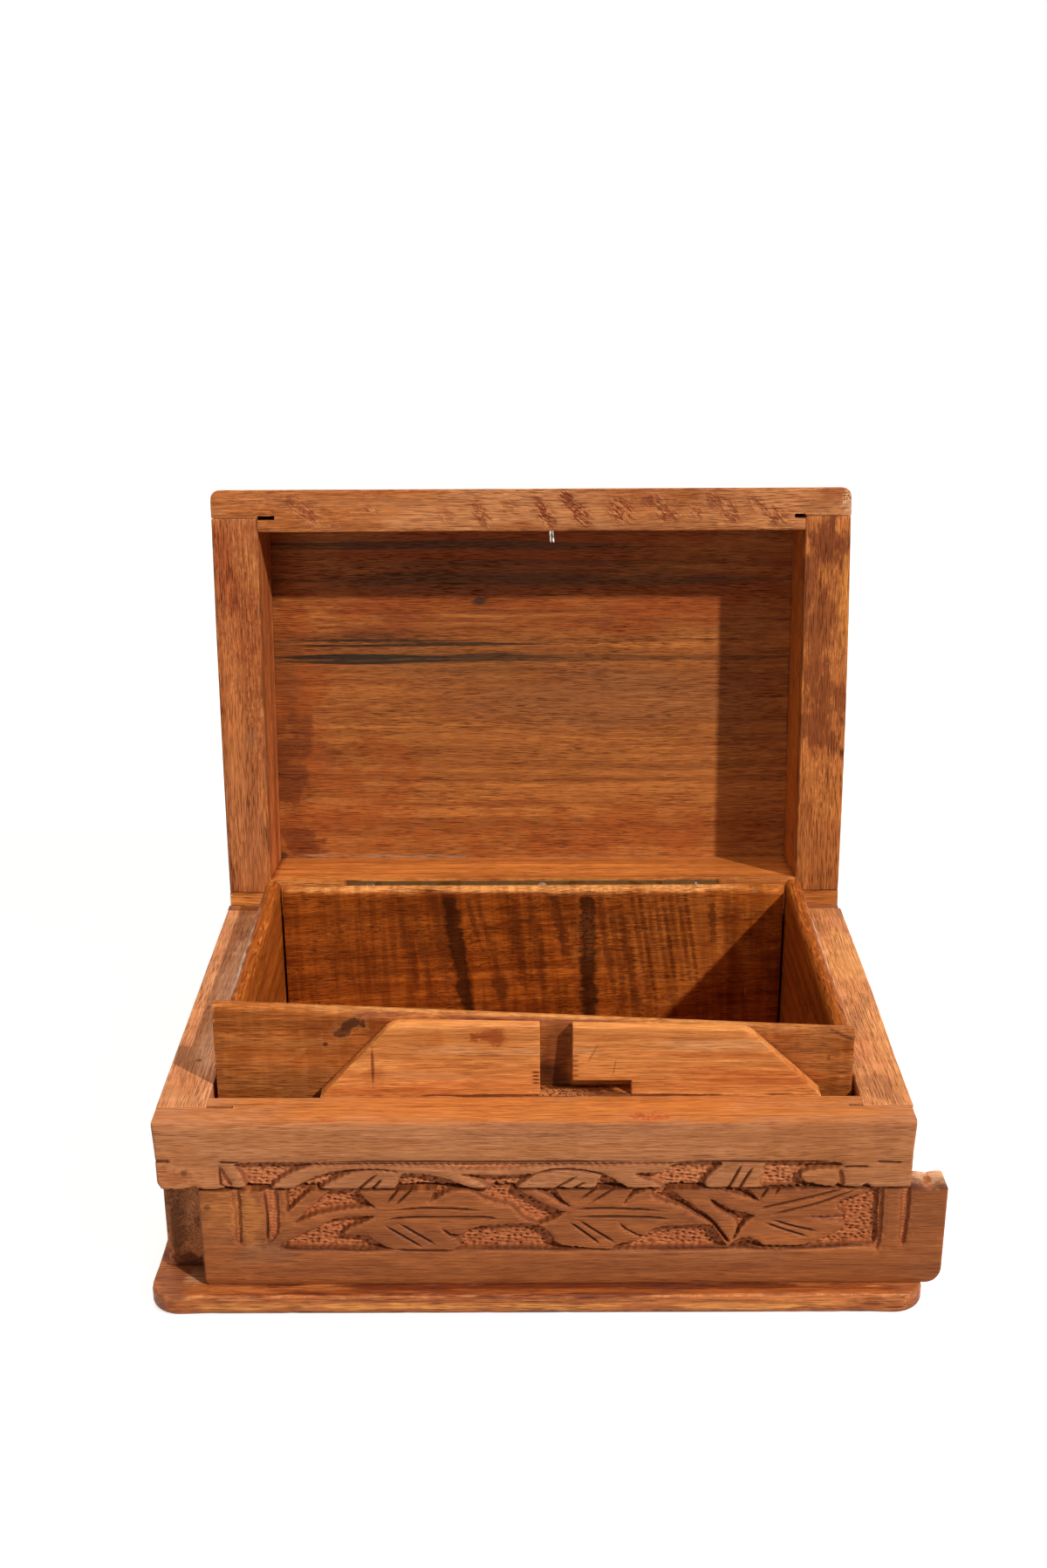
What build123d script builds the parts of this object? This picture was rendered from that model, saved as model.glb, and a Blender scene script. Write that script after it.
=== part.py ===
from build123d import *
import os
from math import cos, radians, sin, tan

# A carved wooden stationery box with a hinged lid and a sliding lock panel.
# Millimetres. Origin at the centre of the base plate's underside, X to the right,
# Y to the back, Z up. The lid stands open and the lock panel is slid to the right.

# ------------------------------------------------------------------ driving sizes

# Outside of the case, and the boards that it is joined from
case_width = 254.0
case_depth = 178.5
case_height = 63.5              # base plate to rim
board_thickness = 17.0
lap_thickness = 11.3            # the part of the front and back boards that laps over the sides
corner_radius = 2.0             # worn upright corners of case and lid

# Base plate
base_thickness = 8.0
base_overhang_side = 4.0
base_overhang_front = 6.0       # also at the back
base_corner_radius = 11.0
base_top_radius = 1.2
base_bottom_radius = 2.4

# Front: a fixed rail at the top, and below it a panel that slides sideways
front_rail_height = 25.0
slide_travel = 13.4
slide_clearance = 0.3           # above, below and at the ends of the sliding panel
slide_setback = 2.1             # the closed panel stops short of the case's sides
face_clearance = 0.5            # sliding face to the ends of the side boards

# Lock board, glued behind the sliding panel, with an L-shaped way for the staple
lock_clearance = 0.35           # lock board to the fixed rail, and to the front lining
lock_thickness = 6.8
lock_foot_length = 169.6
lock_slant = 25.0               # how far each end leans in between rim and top
lock_offset = -1.15             # lock board's centre from the sliding panel's centre
lock_rise_left = 26.5           # top of the board above the rim, at the left of its top edge
lock_rise_right = 23.7
lock_taper = 2.65               # front face leans back, clear of the swinging lid
lock_corner_radius = 9.0        # upper corners
gate_width = 10.8               # upright slot
gate_lead = 4.55                 # upright slot's right side from the staple's centre
latch_slot_height = 5.1
latch_slot_rise = 0.5           # bottom of the level slot above the rim
latch_slot_spare = 6.5          # slot past the place where the staple comes to rest

# Thin lining boards, standing on the base plate
lining_thickness = 6.6
lining_rise = 16.0              # side and back linings above the rim
lining_side_gap = 0.4           # linings to the inner faces of the case
lining_joint_gap = 0.8          # between one lining board and the next
lining_top_radius = 1.8
front_lining_thickness = 5.8
front_lining_end_gap = 1.4
front_lining_rise_left = 31.5   # its top edge runs down to the right
front_lining_rise_right = 20.6

# Lid
lid_hollow = 35.0
lid_top_thickness = 10.0
lid_top_radius = 3.0
lid_gap = 0.25                  # closed lid to the rim
lid_opening = 98.5              # degrees

# Overrun of the saw where the laps are cut
kerf_width = 1.5
lid_kerf_left = 6.7
lid_kerf_right = 4.4
rail_kerf_left = 9.0
rail_kerf_right = 4.7

# Strip hinge
hinge_length = 154.5
hinge_inset = 5.4               # pin's centre to the back face
hinge_drop = 1.7                # pin's centre below the rim
leaf_width = 10.6               # from the pin's centre
leaf_thickness = 0.9
knuckle_count = 12
knuckle_radius = 1.9
knuckle_gap = 0.3
pin_radius = 0.9
pin_clearance = 0.05
hinge_groove_clearance = 0.4
bevel_clearance = 0.1           # each back edge, from the plane where case and lid meet

# Hinge screws
screw_places = (-68.0, 4.0, 68.0)
screw_offset = 7.9              # from the pin's centre
screw_head_radius = 2.0
screw_head_height = 1.2
screw_radius = 1.0
screw_length = 11.0
screw_slot_width = 0.5
screw_slot_depth = 0.4

# Staple in the lid's front rail
staple_x = 8.25
staple_rise = 4.3               # above the lid's rim face
staple_wire_radius = 0.42
staple_spread = 1.3             # between the two legs
staple_reach = 4.9              # out of the wood
staple_bite = 6.0               # in the wood

# Nails that hold the base plate
nail_radius = 0.9
nail_length = 26.0
nail_head_radius = 2.2
nail_head_height = 0.8
nail_sink = 0.3
nails_along_side = 3
nail_end_distance = 40.0        # outer nails from the front and back of the case

# ------------------------------------------------------------------ worked-out places

half_width = case_width / 2
half_depth = case_depth / 2
inner_half_width = half_width - board_thickness
inner_half_depth = half_depth - board_thickness
lap_y = half_depth - lap_thickness
rim_z = base_thickness + case_height

rail_bottom = rim_z - front_rail_height
panel_bottom = base_thickness + slide_clearance
panel_top = rail_bottom - slide_clearance
panel_face_back = -lap_y - face_clearance
lock_front = -inner_half_depth + lock_clearance
lock_back = lock_front + lock_thickness
front_lining_y = lock_back + lock_clearance
front_lining_back = front_lining_y + front_lining_thickness

lining_outer_x = inner_half_width - lining_side_gap
lining_inner_x = lining_outer_x - lining_thickness
lining_back_y = inner_half_depth - lining_side_gap
lining_top = rim_z + lining_rise

lid_rim = rim_z + lid_gap
lid_ceiling = lid_rim + lid_hollow
lid_height = lid_ceiling + lid_top_thickness

pin_y = half_depth - hinge_inset
pin_z = rim_z - hinge_drop
hinge_axis = Axis((0, pin_y, pin_z), (1, 0, 0))
bevel_angle = lid_opening / 2


def block(x0, x1, y0, y1, z0, z1):
    """A box between two corners."""
    size = Box(x1 - x0, y1 - y0, z1 - z0)
    return Pos((x0 + x1) / 2, (y0 + y1) / 2, (z0 + z1) / 2) * size


def bar_from_profile(points, x0, x1):
    """A bar along X, from x0 to x1, whose section is a polygon of (y, z) points."""
    section = make_face(Polyline([(x0, y, z) for y, z in points], close=True))
    return extrude(section, amount=x1 - x0, dir=(1, 0, 0))


def board_from_outline(points, y0, y1):
    """A board with an outline of (x, z) points, from y0 back to y1."""
    outline = make_face(Polyline([(x, y0, z) for x, z in points], close=True))
    return extrude(outline, amount=y1 - y0, dir=(0, 1, 0))


def rod(x, y, z0, z1, radius):
    """An upright cylinder."""
    return Pos(x, y, (z0 + z1) / 2) * Cylinder(radius, z1 - z0)


def level_rod(x0, x1, radius):
    """A cylinder about the hinge's axis."""
    body = Rot(0, 90, 0) * Cylinder(radius, x1 - x0)
    return Pos((x0 + x1) / 2, pin_y, pin_z) * body


def round_upright_corners(board, y_side):
    """Round the two outer upright corners of a full-width board."""
    corners = [
        edge for edge in board.edges().filter_by(Axis.Z)
        if abs(abs(edge.center().X) - half_width) < 0.01
        and abs(edge.center().Y - y_side) < 0.01
    ]
    return fillet(corners, corner_radius)


def round_top(board, along, radius):
    """Round the two long top edges of a lining board that runs along an axis."""
    top = board.faces().sort_by(Axis.Z)[-1]
    long_edges = [
        edge for edge in top.edges()
        if abs(getattr(edge.tangent_at(0.5), along)) > 0.9
    ]
    return fillet(long_edges, radius)


def lapped_board(y_sign, z0, z1):
    """A board whose outer part laps over the sides and whose inner part fits between them."""
    outer = (y_sign * lap_y, y_sign * half_depth)
    inner = (y_sign * inner_half_depth, y_sign * lap_y)
    lap = block(-half_width, half_width, min(outer), max(outer), z0, z1)
    tongue = block(-inner_half_width, inner_half_width, min(inner), max(inner), z0, z1)
    return round_upright_corners(lap + tongue, y_sign * half_depth)


def cut_kerfs(board, left, right, z0, z1):
    """Saw cuts that run on past the laps' shoulders, along the joint line."""
    near = -lap_y - kerf_width / 2
    far = near + kerf_width
    left_cut = block(-inner_half_width, -inner_half_width + left, near, far, z0, z1)
    right_cut = block(inner_half_width - right, inner_half_width, near, far, z0, z1)
    return board - left_cut - right_cut


def opened(piece):
    """Turn a piece of the closed lid about the hinge to where the lid stands open."""
    return piece.rotate(hinge_axis, -lid_opening)


# ------------------------------------------------------------------ base plate and nails

def make_base_plate():
    plate = block(
        -half_width - base_overhang_side, half_width + base_overhang_side,
        -half_depth - base_overhang_front, half_depth + base_overhang_front,
        0, base_thickness)
    plate = fillet(plate.edges().filter_by(Axis.Z), base_corner_radius)
    plate = fillet(plate.faces().sort_by(Axis.Z)[-1].edges(), base_top_radius)
    return fillet(plate.faces().sort_by(Axis.Z)[0].edges(), base_bottom_radius)


def nail_spots():
    """Three nails up into each side board, and two into the back board."""
    side_x = half_width - board_thickness / 2
    reach = half_depth - nail_end_distance
    step = 2 * reach / (nails_along_side - 1)
    spots = [
        (sign * side_x, -reach + index * step)
        for sign in (-1, 1) for index in range(nails_along_side)
    ]
    back_y = half_depth - board_thickness / 2
    back_x = inner_half_width - nail_end_distance
    return spots + [(-back_x, back_y), (back_x, back_y)]


def make_nails():
    head_top = nail_sink + nail_head_height
    nails = [
        rod(x, y, nail_sink, head_top, nail_head_radius)
        + rod(x, y, head_top, nail_sink + nail_length, nail_radius)
        for x, y in nail_spots()
    ]
    return Part() + nails


def nail_holes():
    """The nails, with the sunk space below each head."""
    below = [rod(x, y, 0, nail_sink, nail_head_radius) for x, y in nail_spots()]
    return make_nails() + below


# ------------------------------------------------------------------ case boards

def bevel_wedge(z_sign):
    """The corner behind the pin that is planed off, above the case or below the lid."""
    slope = tan(radians(bevel_angle))
    lift = bevel_clearance / cos(radians(bevel_angle))
    reach = 2 * board_thickness
    far = pin_y + reach
    near = pin_y - reach
    edge = [
        (near, pin_z + z_sign * (reach * slope - lift)),
        (far, pin_z + z_sign * (-reach * slope - lift)),
    ]
    beyond = pin_z + z_sign * reach * slope
    corner = [(far, beyond + z_sign * reach)] + [(near, beyond + z_sign * reach)]
    margin = half_width + board_thickness
    return bar_from_profile(edge + corner, -margin, margin)


def make_side(x_sign):
    inner = x_sign * inner_half_width
    outer = x_sign * half_width
    return block(min(inner, outer), max(inner, outer), -lap_y, lap_y, base_thickness, rim_z)


def make_front_rail():
    rail = lapped_board(-1, rail_bottom, rim_z)
    return cut_kerfs(rail, rail_kerf_left, rail_kerf_right, rail_bottom, rim_z)


def make_back_board():
    board = lapped_board(1, base_thickness, rim_z)
    board = board - bevel_wedge(1)
    board = board - hinge_mortise(rim_z - leaf_thickness, rim_z)
    return board - make_screws(rim_z, -1)


# ------------------------------------------------------------------ linings

def make_side_lining(x_sign):
    outer = x_sign * lining_outer_x
    inner = x_sign * lining_inner_x
    board = block(
        min(inner, outer), max(inner, outer),
        front_lining_back + lining_joint_gap, lining_back_y, base_thickness, lining_top)
    return round_top(board, "Y", lining_top_radius)


def make_back_lining():
    half_length = lining_inner_x - lining_joint_gap
    board = block(
        -half_length, half_length,
        lining_back_y - lining_thickness, lining_back_y, base_thickness, lining_top)
    return round_top(board, "X", lining_top_radius)


def make_front_lining():
    end = inner_half_width - front_lining_end_gap
    outline = [
        (-end, base_thickness),
        (end, base_thickness),
        (end, rim_z + front_lining_rise_right),
        (-end, rim_z + front_lining_rise_left),
    ]
    board = board_from_outline(outline, front_lining_y, front_lining_back)
    return round_top(board, "X", lining_top_radius)


# ------------------------------------------------------------------ sliding panel and lock board

def make_slide_panel():
    half_face = half_width - slide_setback
    face = block(
        slide_travel - half_face, slide_travel + half_face,
        -half_depth, panel_face_back, panel_bottom, panel_top)
    backing_right = inner_half_width - slide_clearance
    backing_left = slide_clearance + slide_travel - inner_half_width
    backing = block(
        backing_left, backing_right,
        panel_face_back, lock_front, panel_bottom, panel_top)
    return face + backing


def make_lock_board():
    """A board that is upright to the rim, with sloping ends and a leaning front above it."""
    centre = slide_travel + lock_offset
    foot_left = centre - lock_foot_length / 2
    foot_right = centre + lock_foot_length / 2
    outline = [
        (foot_left, panel_bottom),
        (foot_right, panel_bottom),
        (foot_right, rim_z),
        (foot_right - lock_slant, rim_z + lock_rise_right),
        (foot_left + lock_slant, rim_z + lock_rise_left),
        (foot_left, rim_z),
    ]
    board = board_from_outline(outline, lock_front, lock_back)
    upper_corners = board.edges().filter_by(Axis.Y).sort_by(Axis.Z)[-2:]
    board = fillet(upper_corners, lock_corner_radius)
    lean = [
        (lock_front, rim_z),
        (lock_front + lock_taper, rim_z + lock_rise_left),
        (lock_front + lock_taper, rim_z + 2 * lock_rise_left),
        (lock_front - lock_taper, rim_z + 2 * lock_rise_left),
        (lock_front - lock_taper, rim_z),
    ]
    board = board - bar_from_profile(lean, foot_left, foot_right)
    gate_right = staple_x + gate_lead
    slot_bottom = rim_z + latch_slot_rise
    slot_end = gate_right + slide_travel + latch_slot_spare
    gate = block(
        gate_right - gate_width, gate_right,
        lock_front, lock_back, slot_bottom, rim_z + 2 * lock_rise_left)
    slot = block(
        gate_right, slot_end,
        lock_front, lock_back, slot_bottom, slot_bottom + latch_slot_height)
    return board - gate - slot


# ------------------------------------------------------------------ lid, modelled closed

def make_lid_side(x_sign):
    inner = x_sign * inner_half_width
    outer = x_sign * half_width
    return block(min(inner, outer), max(inner, outer), -lap_y, lap_y, lid_rim, lid_ceiling)


def make_lid_front_rail():
    rail = lapped_board(-1, lid_rim, lid_ceiling)
    rail = cut_kerfs(rail, lid_kerf_left, lid_kerf_right, lid_rim, lid_ceiling)
    return rail - make_staple()


def make_lid_back_rail():
    rail = lapped_board(1, lid_rim, lid_ceiling)
    rail = rail - bevel_wedge(-1)
    rail = rail - hinge_mortise(lid_rim, lid_rim + leaf_thickness)
    return rail - make_screws(lid_rim, 1)


def make_lid_top():
    panel = block(-half_width, half_width, -half_depth, half_depth, lid_ceiling, lid_height)
    panel = fillet(panel.edges().filter_by(Axis.Z), corner_radius)
    return fillet(panel.faces().sort_by(Axis.Z)[-1].edges(), lid_top_radius)


def make_staple():
    """A bent wire: two legs that stand out of the rail's inner face, joined in the wood."""
    z = lid_rim + staple_rise
    tip_y = staple_reach - inner_half_depth
    bend_y = -inner_half_depth - staple_bite
    half = staple_spread / 2
    left_leg = Line((staple_x - half, tip_y, z), (staple_x - half, bend_y, z))
    bend = ThreePointArc(
        (staple_x - half, bend_y, z),
        (staple_x, bend_y - half, z),
        (staple_x + half, bend_y, z))
    right_leg = Line((staple_x + half, bend_y, z), (staple_x + half, tip_y, z))
    path = Wire([left_leg, bend, right_leg])
    section = Plane(origin=(staple_x - half, tip_y, z), z_dir=(0, -1, 0))
    return sweep(section * Circle(staple_wire_radius), path=path)


# ------------------------------------------------------------------ hinge

def knuckle_spans(first):
    """The X spans of every second knuckle, from the first one given."""
    pitch = hinge_length / knuckle_count
    starts = [-hinge_length / 2 + index * pitch for index in range(first, knuckle_count, 2)]
    return [(start + knuckle_gap / 2, start + pitch - knuckle_gap / 2) for start in starts]


def hinge_mortise(z0, z1):
    """The space for a leaf and for the barrel, cut out of a rim."""
    half = hinge_length / 2
    leaf_space = block(-half, half, pin_y - leaf_width, pin_y, z0, z1)
    barrel_space = level_rod(-half, half, knuckle_radius + hinge_groove_clearance)
    return leaf_space + barrel_space


def make_leaf(z0, z1, first, bore):
    """A leaf with every second knuckle of the barrel on its back edge."""
    half = hinge_length / 2
    neck_y = pin_y - knuckle_radius - hinge_groove_clearance
    leaf = block(-half, half, pin_y - leaf_width, neck_y, z0, z1)
    for x0, x1 in knuckle_spans(first):
        leaf = leaf + block(x0, x1, neck_y, pin_y, z0, z1)
        leaf = leaf + block(x0, x1, pin_y - pin_radius, pin_y, pin_z + pin_radius, z1)
        leaf = leaf + level_rod(x0, x1, knuckle_radius)
    return leaf - level_rod(-half, half, bore)


def make_screws(face_z, z_sign):
    """Countersunk screws, heads flush with a leaf's face, shanks running into the wood."""
    screws = []
    for x in screw_places:
        y = pin_y - screw_offset
        head = Cone(screw_head_radius, screw_radius, screw_head_height)
        shank_length = screw_length - screw_head_height
        shank = Cylinder(screw_radius, shank_length)
        body = Pos(0, 0, screw_head_height / 2) * head
        body = body + Pos(0, 0, screw_head_height + shank_length / 2) * shank
        if z_sign < 0:
            body = Rot(180, 0, 0) * body
        screws.append(Pos(x, y, face_z) * body)
    return Part() + screws


def cut_screw_slots(screws, face_z, z_sign):
    """A driver slot across each head."""
    near = face_z
    far = face_z + z_sign * screw_slot_depth
    for x in screw_places:
        screws = screws - block(
            x - screw_head_radius, x + screw_head_radius,
            pin_y - screw_offset - screw_slot_width / 2,
            pin_y - screw_offset + screw_slot_width / 2,
            min(near, far), max(near, far))
    return screws


# ------------------------------------------------------------------ every piece, in place

screws_case = make_screws(rim_z, -1)
screws_lid = make_screws(lid_rim, 1)
leaf_case = make_leaf(rim_z - leaf_thickness, rim_z, 0, pin_radius) - screws_case
leaf_lid = make_leaf(lid_rim, lid_rim + leaf_thickness, 1, pin_radius + pin_clearance) - screws_lid
holes = nail_holes()

pieces = {
    "base_plate": make_base_plate() - holes,
    "base_nails": make_nails(),
    "front_rail": make_front_rail(),
    "left_side": make_side(-1) - holes,
    "right_side": make_side(1) - holes,
    "back_board": make_back_board() - holes,
    "lining_front": make_front_lining(),
    "lining_left": make_side_lining(-1),
    "lining_right": make_side_lining(1),
    "lining_back": make_back_lining(),
    "slide_panel": make_slide_panel(),
    "lock_board": make_lock_board(),
    "hinge_leaf_case": leaf_case,
    "hinge_pin": level_rod(-hinge_length / 2, hinge_length / 2, pin_radius),
    "case_hinge_screws": cut_screw_slots(screws_case, rim_z, -1),
    "lid_front_rail": opened(make_lid_front_rail()),
    "lid_back_rail": opened(make_lid_back_rail()),
    "lid_left_rail": opened(make_lid_side(-1)),
    "lid_right_rail": opened(make_lid_side(1)),
    "lid_top": opened(make_lid_top()),
    "lock_staple": opened(make_staple()),
    "hinge_leaf_lid": opened(leaf_lid),
    "lid_hinge_screws": opened(cut_screw_slots(screws_lid, lid_rim, 1)),
}

os.makedirs("parts", exist_ok=True)
for name, piece in pieces.items():
    export_step(piece, f"parts/{name}.step")
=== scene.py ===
import math

import bmesh
import bpy
import numpy as np
from mathutils import Euler, Matrix, Vector, noise


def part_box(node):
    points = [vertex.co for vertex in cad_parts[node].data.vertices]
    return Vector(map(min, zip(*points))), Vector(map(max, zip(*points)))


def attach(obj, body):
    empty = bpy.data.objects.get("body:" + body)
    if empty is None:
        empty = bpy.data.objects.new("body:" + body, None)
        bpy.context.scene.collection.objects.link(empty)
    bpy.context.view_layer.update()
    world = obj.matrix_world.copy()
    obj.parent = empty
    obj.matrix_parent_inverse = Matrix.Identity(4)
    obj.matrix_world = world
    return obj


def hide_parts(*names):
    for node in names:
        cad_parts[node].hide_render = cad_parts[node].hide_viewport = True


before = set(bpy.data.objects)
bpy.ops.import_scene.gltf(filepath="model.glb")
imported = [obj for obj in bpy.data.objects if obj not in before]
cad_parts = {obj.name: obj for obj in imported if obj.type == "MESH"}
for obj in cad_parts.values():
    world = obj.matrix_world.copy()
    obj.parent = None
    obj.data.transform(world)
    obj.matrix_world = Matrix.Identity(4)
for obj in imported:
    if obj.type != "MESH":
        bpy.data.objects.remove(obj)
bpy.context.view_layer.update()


# ------------------------ base plate
# A thin walnut board that the case stands on, sawn by hand, so its corners are broad flat
# curves instead of true arcs. Nailed up into the case, oiled dark, worn pale along its top edge.

base_loop_step = 3.0            # mm between the cuts that let a face wander
base_corner_reach = 23.0        # mm of the front and back edge that bends in at each corner
base_corner_deep = 30.0         # mm of the sides that bend in with it
base_corner_bend = 1.2          # mm that it bends in by
base_corner_round = 18.0        # mm of the solid's corner
base_corner_fill = 1.7          # mm that its front corners are squarer than the solid's
base_right_spare = 1.0          # mm that the board is longer to the right


def linear(hex_code):
    """An sRGB hex code as a linear RGBA colour."""
    values = [int(hex_code[at:at + 2], 16) / 255 for at in (1, 3, 5)]
    return [v / 12.92 if v <= 0.04045 else ((v + 0.055) / 1.055) ** 2.4 for v in values] + [1.0]


def main_output(made):
    """A shader node's first output that its settings leave on."""
    return next(socket for socket in made.outputs if socket.enabled)


def node(tree, kind, inputs=(), mode=None, **settings):
    """Adds a shader node. Its inputs, in order or by key, are values, sockets or other nodes."""
    made = tree.nodes.new("ShaderNode" + kind)
    if mode:
        choices = {"MapRange": "interpolation_type", "Mix": "data_type", "Mapping": "vector_type"}
        settings[choices.get(kind, "operation")] = mode
    for key, value in settings.items():
        setattr(made, key, value)
    for key, value in inputs.items() if isinstance(inputs, dict) else enumerate(inputs):
        if isinstance(value, bpy.types.Node):
            value = main_output(value)
        if isinstance(value, bpy.types.NodeSocket):
            tree.links.new(value, made.inputs[key])
        else:
            made.inputs[key].default_value = value
    return made


def empty_tree(block):
    """The shader tree of a new material or world, with nothing in it."""
    block.use_nodes = True
    block.node_tree.nodes.clear()
    return block.node_tree


def span(name):
    """A CAD node's lowest and highest corners, in millimetres."""
    low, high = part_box(name)
    return low * 1000, high * 1000


def share(value, start, end):
    """How far a value has come from start to end, from 0 to 1."""
    return min(1.0, max(0.0, (value - start) / (end - start)))


def node_copy(name):
    """A merged copy of a CAD node's mesh, in millimetres, with its flat faces made whole."""
    bm = bmesh.new()
    bm.from_mesh(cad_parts[name].data)
    bm.transform(Matrix.Scale(1000, 4))
    bmesh.ops.remove_doubles(bm, verts=bm.verts, dist=0.002)
    bmesh.ops.dissolve_limit(bm, angle_limit=math.radians(0.5), verts=bm.verts, edges=bm.edges)
    return bm


def slice_up(bm, steps):
    """Cuts loops across a board, steps millimetres apart along X, Y and Z (0 for none)."""
    for axis, step in enumerate(steps):
        if not step:
            continue
        low = min(v.co[axis] for v in bm.verts)
        high = max(v.co[axis] for v in bm.verts)
        count = max(1, round((high - low) / step))
        normal = Vector((0, 0, 0))
        normal[axis] = 1
        for index in range(1, count):
            at = normal * (low + (high - low) * index / count)
            whole = bm.verts[:] + bm.edges[:] + bm.faces[:]
            bmesh.ops.bisect_plane(bm, geom=whole, dist=0.001, plane_co=at, plane_no=normal)


def wear_down(bm, seed, sag=0.16, chip=0.5):
    """Lets faces wander inwards by up to sag, and edges lose small chips, in millimetres."""
    bm.normal_update()
    start = Vector((seed * 7.3, seed * 3.1, seed * 5.7))
    moves = []
    for v in bm.verts:
        # waves 27 mm and 7 mm long, and nicks 3.5 mm apart along the edges
        slow = 0.5 + 0.5 * noise.noise(v.co / 27 + start)
        quick = 0.5 + 0.5 * noise.noise(v.co / 7 + start)
        deep = sag * (0.7 * slow + 0.3 * quick)
        edge = 1 - max(abs(c) for c in v.normal)
        if edge > 0.03:
            nick = noise.noise(v.co / 3.5 + start * 2)
            deep += chip * max(0.0, nick - 0.28) * min(1.0, edge * 5)
        moves.append(v.normal * deep)
    for v, move in zip(bm.verts, moves):
        v.co -= move


def set_in_place(name, bm, body, replaced, sharp=38):
    """Turns a mesh in millimetres into a piece that rides on a body of the box."""
    bm.transform(Matrix.Scale(0.001, 4))
    bm.normal_update()
    mesh = bpy.data.meshes.new(name)
    bm.to_mesh(mesh)
    bm.free()
    for face in mesh.polygons:
        face.use_smooth = True
    mesh.set_sharp_from_angle(angle=math.radians(sharp))
    piece = bpy.data.objects.new(name, mesh)
    bpy.context.scene.collection.objects.link(piece)
    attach(piece, body)
    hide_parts(replaced)
    return piece


# Walnut's figure, as one group that every board shares. Its place input is in metres with
# the grain along X: bands are growth rings, fibres and pores are the open long grain.
figure = bpy.data.node_groups.new("walnut_figure", "ShaderNodeTree")
usual_amounts = {
    "Curl": 0.0, "Wear": 0.6, "Blotch": 0.5, "Pores": 0.9, "Fleck": 0.15, "Cut": 0.0, "Rub": 0.0,
    "Mark": 0.0}
for kind, names in (
        ("Vector", ("Place", "Low", "High")), ("Float", usual_amounts),
        ("Color", ("Light", "Dark", "Stain", "Worn", "Marking"))):
    for name in names:
        socket = figure.interface.new_socket(name, in_out="INPUT", socket_type="NodeSocket" + kind)
        if name in usual_amounts:
            socket.default_value = usual_amounts[name]
given = figure.nodes.new("NodeGroupInput").outputs
place = given["Place"]
bend = node(figure, "TexNoise", {"Vector": place, "Scale": 6.0, "Detail": 2.0}).outputs["Color"]
bend = node(figure, "VectorMath", (bend, (0.5, 0.5, 0.5)), "SUBTRACT")
bend = node(figure, "VectorMath", (bend, (0.0, 0.007, 0.007)), "MULTIPLY")
bend = node(figure, "VectorMath", (place, bend), "ADD")
# Each texture has its place, its cells per metre along and across the grain, its detail and
# roughness, and the values between which it is spread out, with those that it is spread to.
noises = {}
spread = {}
for name, where, along, across, detail, fine, levels, mode in (
        # growth rings about 6 mm apart, drawn out along the board
        ("rings", bend, 2.6, 150, 4, 0.62, (0.33, 0.67), "SMOOTHSTEP"),
        # fibres about 0.6 mm wide and 20 mm long, as coarse as they need to show
        ("fibre", bend, 50, 1700, 3, 0.6, (0.25, 0.75, 0.62, 1.36), "LINEAR"),
        # open pores, short dark dashes 0.4 mm wide and 8 mm long, crowded in some places
        ("pore", bend, 125, 2700, 1, 0.5, (0.54, 0.65), "LINEAR"),
        ("crowd", place, 22, 70, 2, 0.5, (0.3, 0.65, 0.4), "LINEAR"),
        # curl: ripples across the grain, 5 mm apart
        ("curl", place, 190, 16, 2, 0.5, (0.4, 0.66), "SMOOTHSTEP"),
        # stain that has soaked in unevenly
        ("soak", place, 20, 42, 4, 0.65, (0.42, 0.7), "SMOOTHSTEP"),
        # reddish flecks 1 mm by 4 mm that lie in patches, where the grain dips under the surface
        ("fleck", place, 260, 950, 2, 0.5, (0.5, 0.62), "SMOOTHSTEP"),
        ("patch", place, 31, 31, 1, 0.5, (0.42, 0.62), "SMOOTHSTEP"),
        # wear reaches about 1.5 mm in from an edge, and comes and goes along it
        ("fray", place, 210, 210, 4, 0.7, (0.3, 0.7, -0.0009, 0.0016), "LINEAR")):
    cells = node(figure, "VectorMath", (where, (along, across, across)), "MULTIPLY")
    noises[name] = node(figure, "TexNoise", {
        "Vector": cells, "Scale": 1.0, "Detail": detail, "Roughness": fine})
    spread[name] = node(figure, "MapRange", (noises[name], *levels), mode)
pore = node(figure, "Math", (spread["pore"], spread["crowd"]), "MULTIPLY")
pore = node(figure, "Math", (pore, given["Pores"]), "MULTIPLY")
curl = node(figure, "Math", (spread["curl"], given["Curl"]), "MULTIPLY")
soak = node(figure, "Math", (spread["soak"], given["Blotch"]), "MULTIPLY")
fleck = node(figure, "Math", (spread["fleck"], spread["patch"]), "MULTIPLY")
fleck = node(figure, "Math", (fleck, given["Fleck"]), "MULTIPLY")
soak = node(figure, "Math", (soak, fleck), "MAXIMUM")
# distance to the board's nearest edge: the middle one of the distances to its three pairs of faces
below = node(figure, "VectorMath", (place, given["Low"]), "SUBTRACT")
above = node(figure, "VectorMath", (given["High"], place), "SUBTRACT")
near = node(figure, "VectorMath", (below, above), "MINIMUM")
near = node(figure, "SeparateXYZ", (near,)).outputs
lesser = node(figure, "Math", (near[0], near[1]), "MINIMUM")
greater = node(figure, "Math", (near[0], near[1]), "MAXIMUM")
middle = node(figure, "Math", (greater, near[2]), "MINIMUM")
middle = node(figure, "Math", (lesser, middle), "MAXIMUM")
edge = node(figure, "Math", (middle, spread["fray"]), "ADD")
edge = node(figure, "MapRange", (edge, 0.0013, 0.0003), "SMOOTHSTEP")
edge = node(figure, "Math", (edge, given["Wear"]), "MULTIPLY")
edge = node(figure, "Math", (edge, given["Rub"]), "ADD", use_clamp=True)
tone = given["Dark"]
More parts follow.
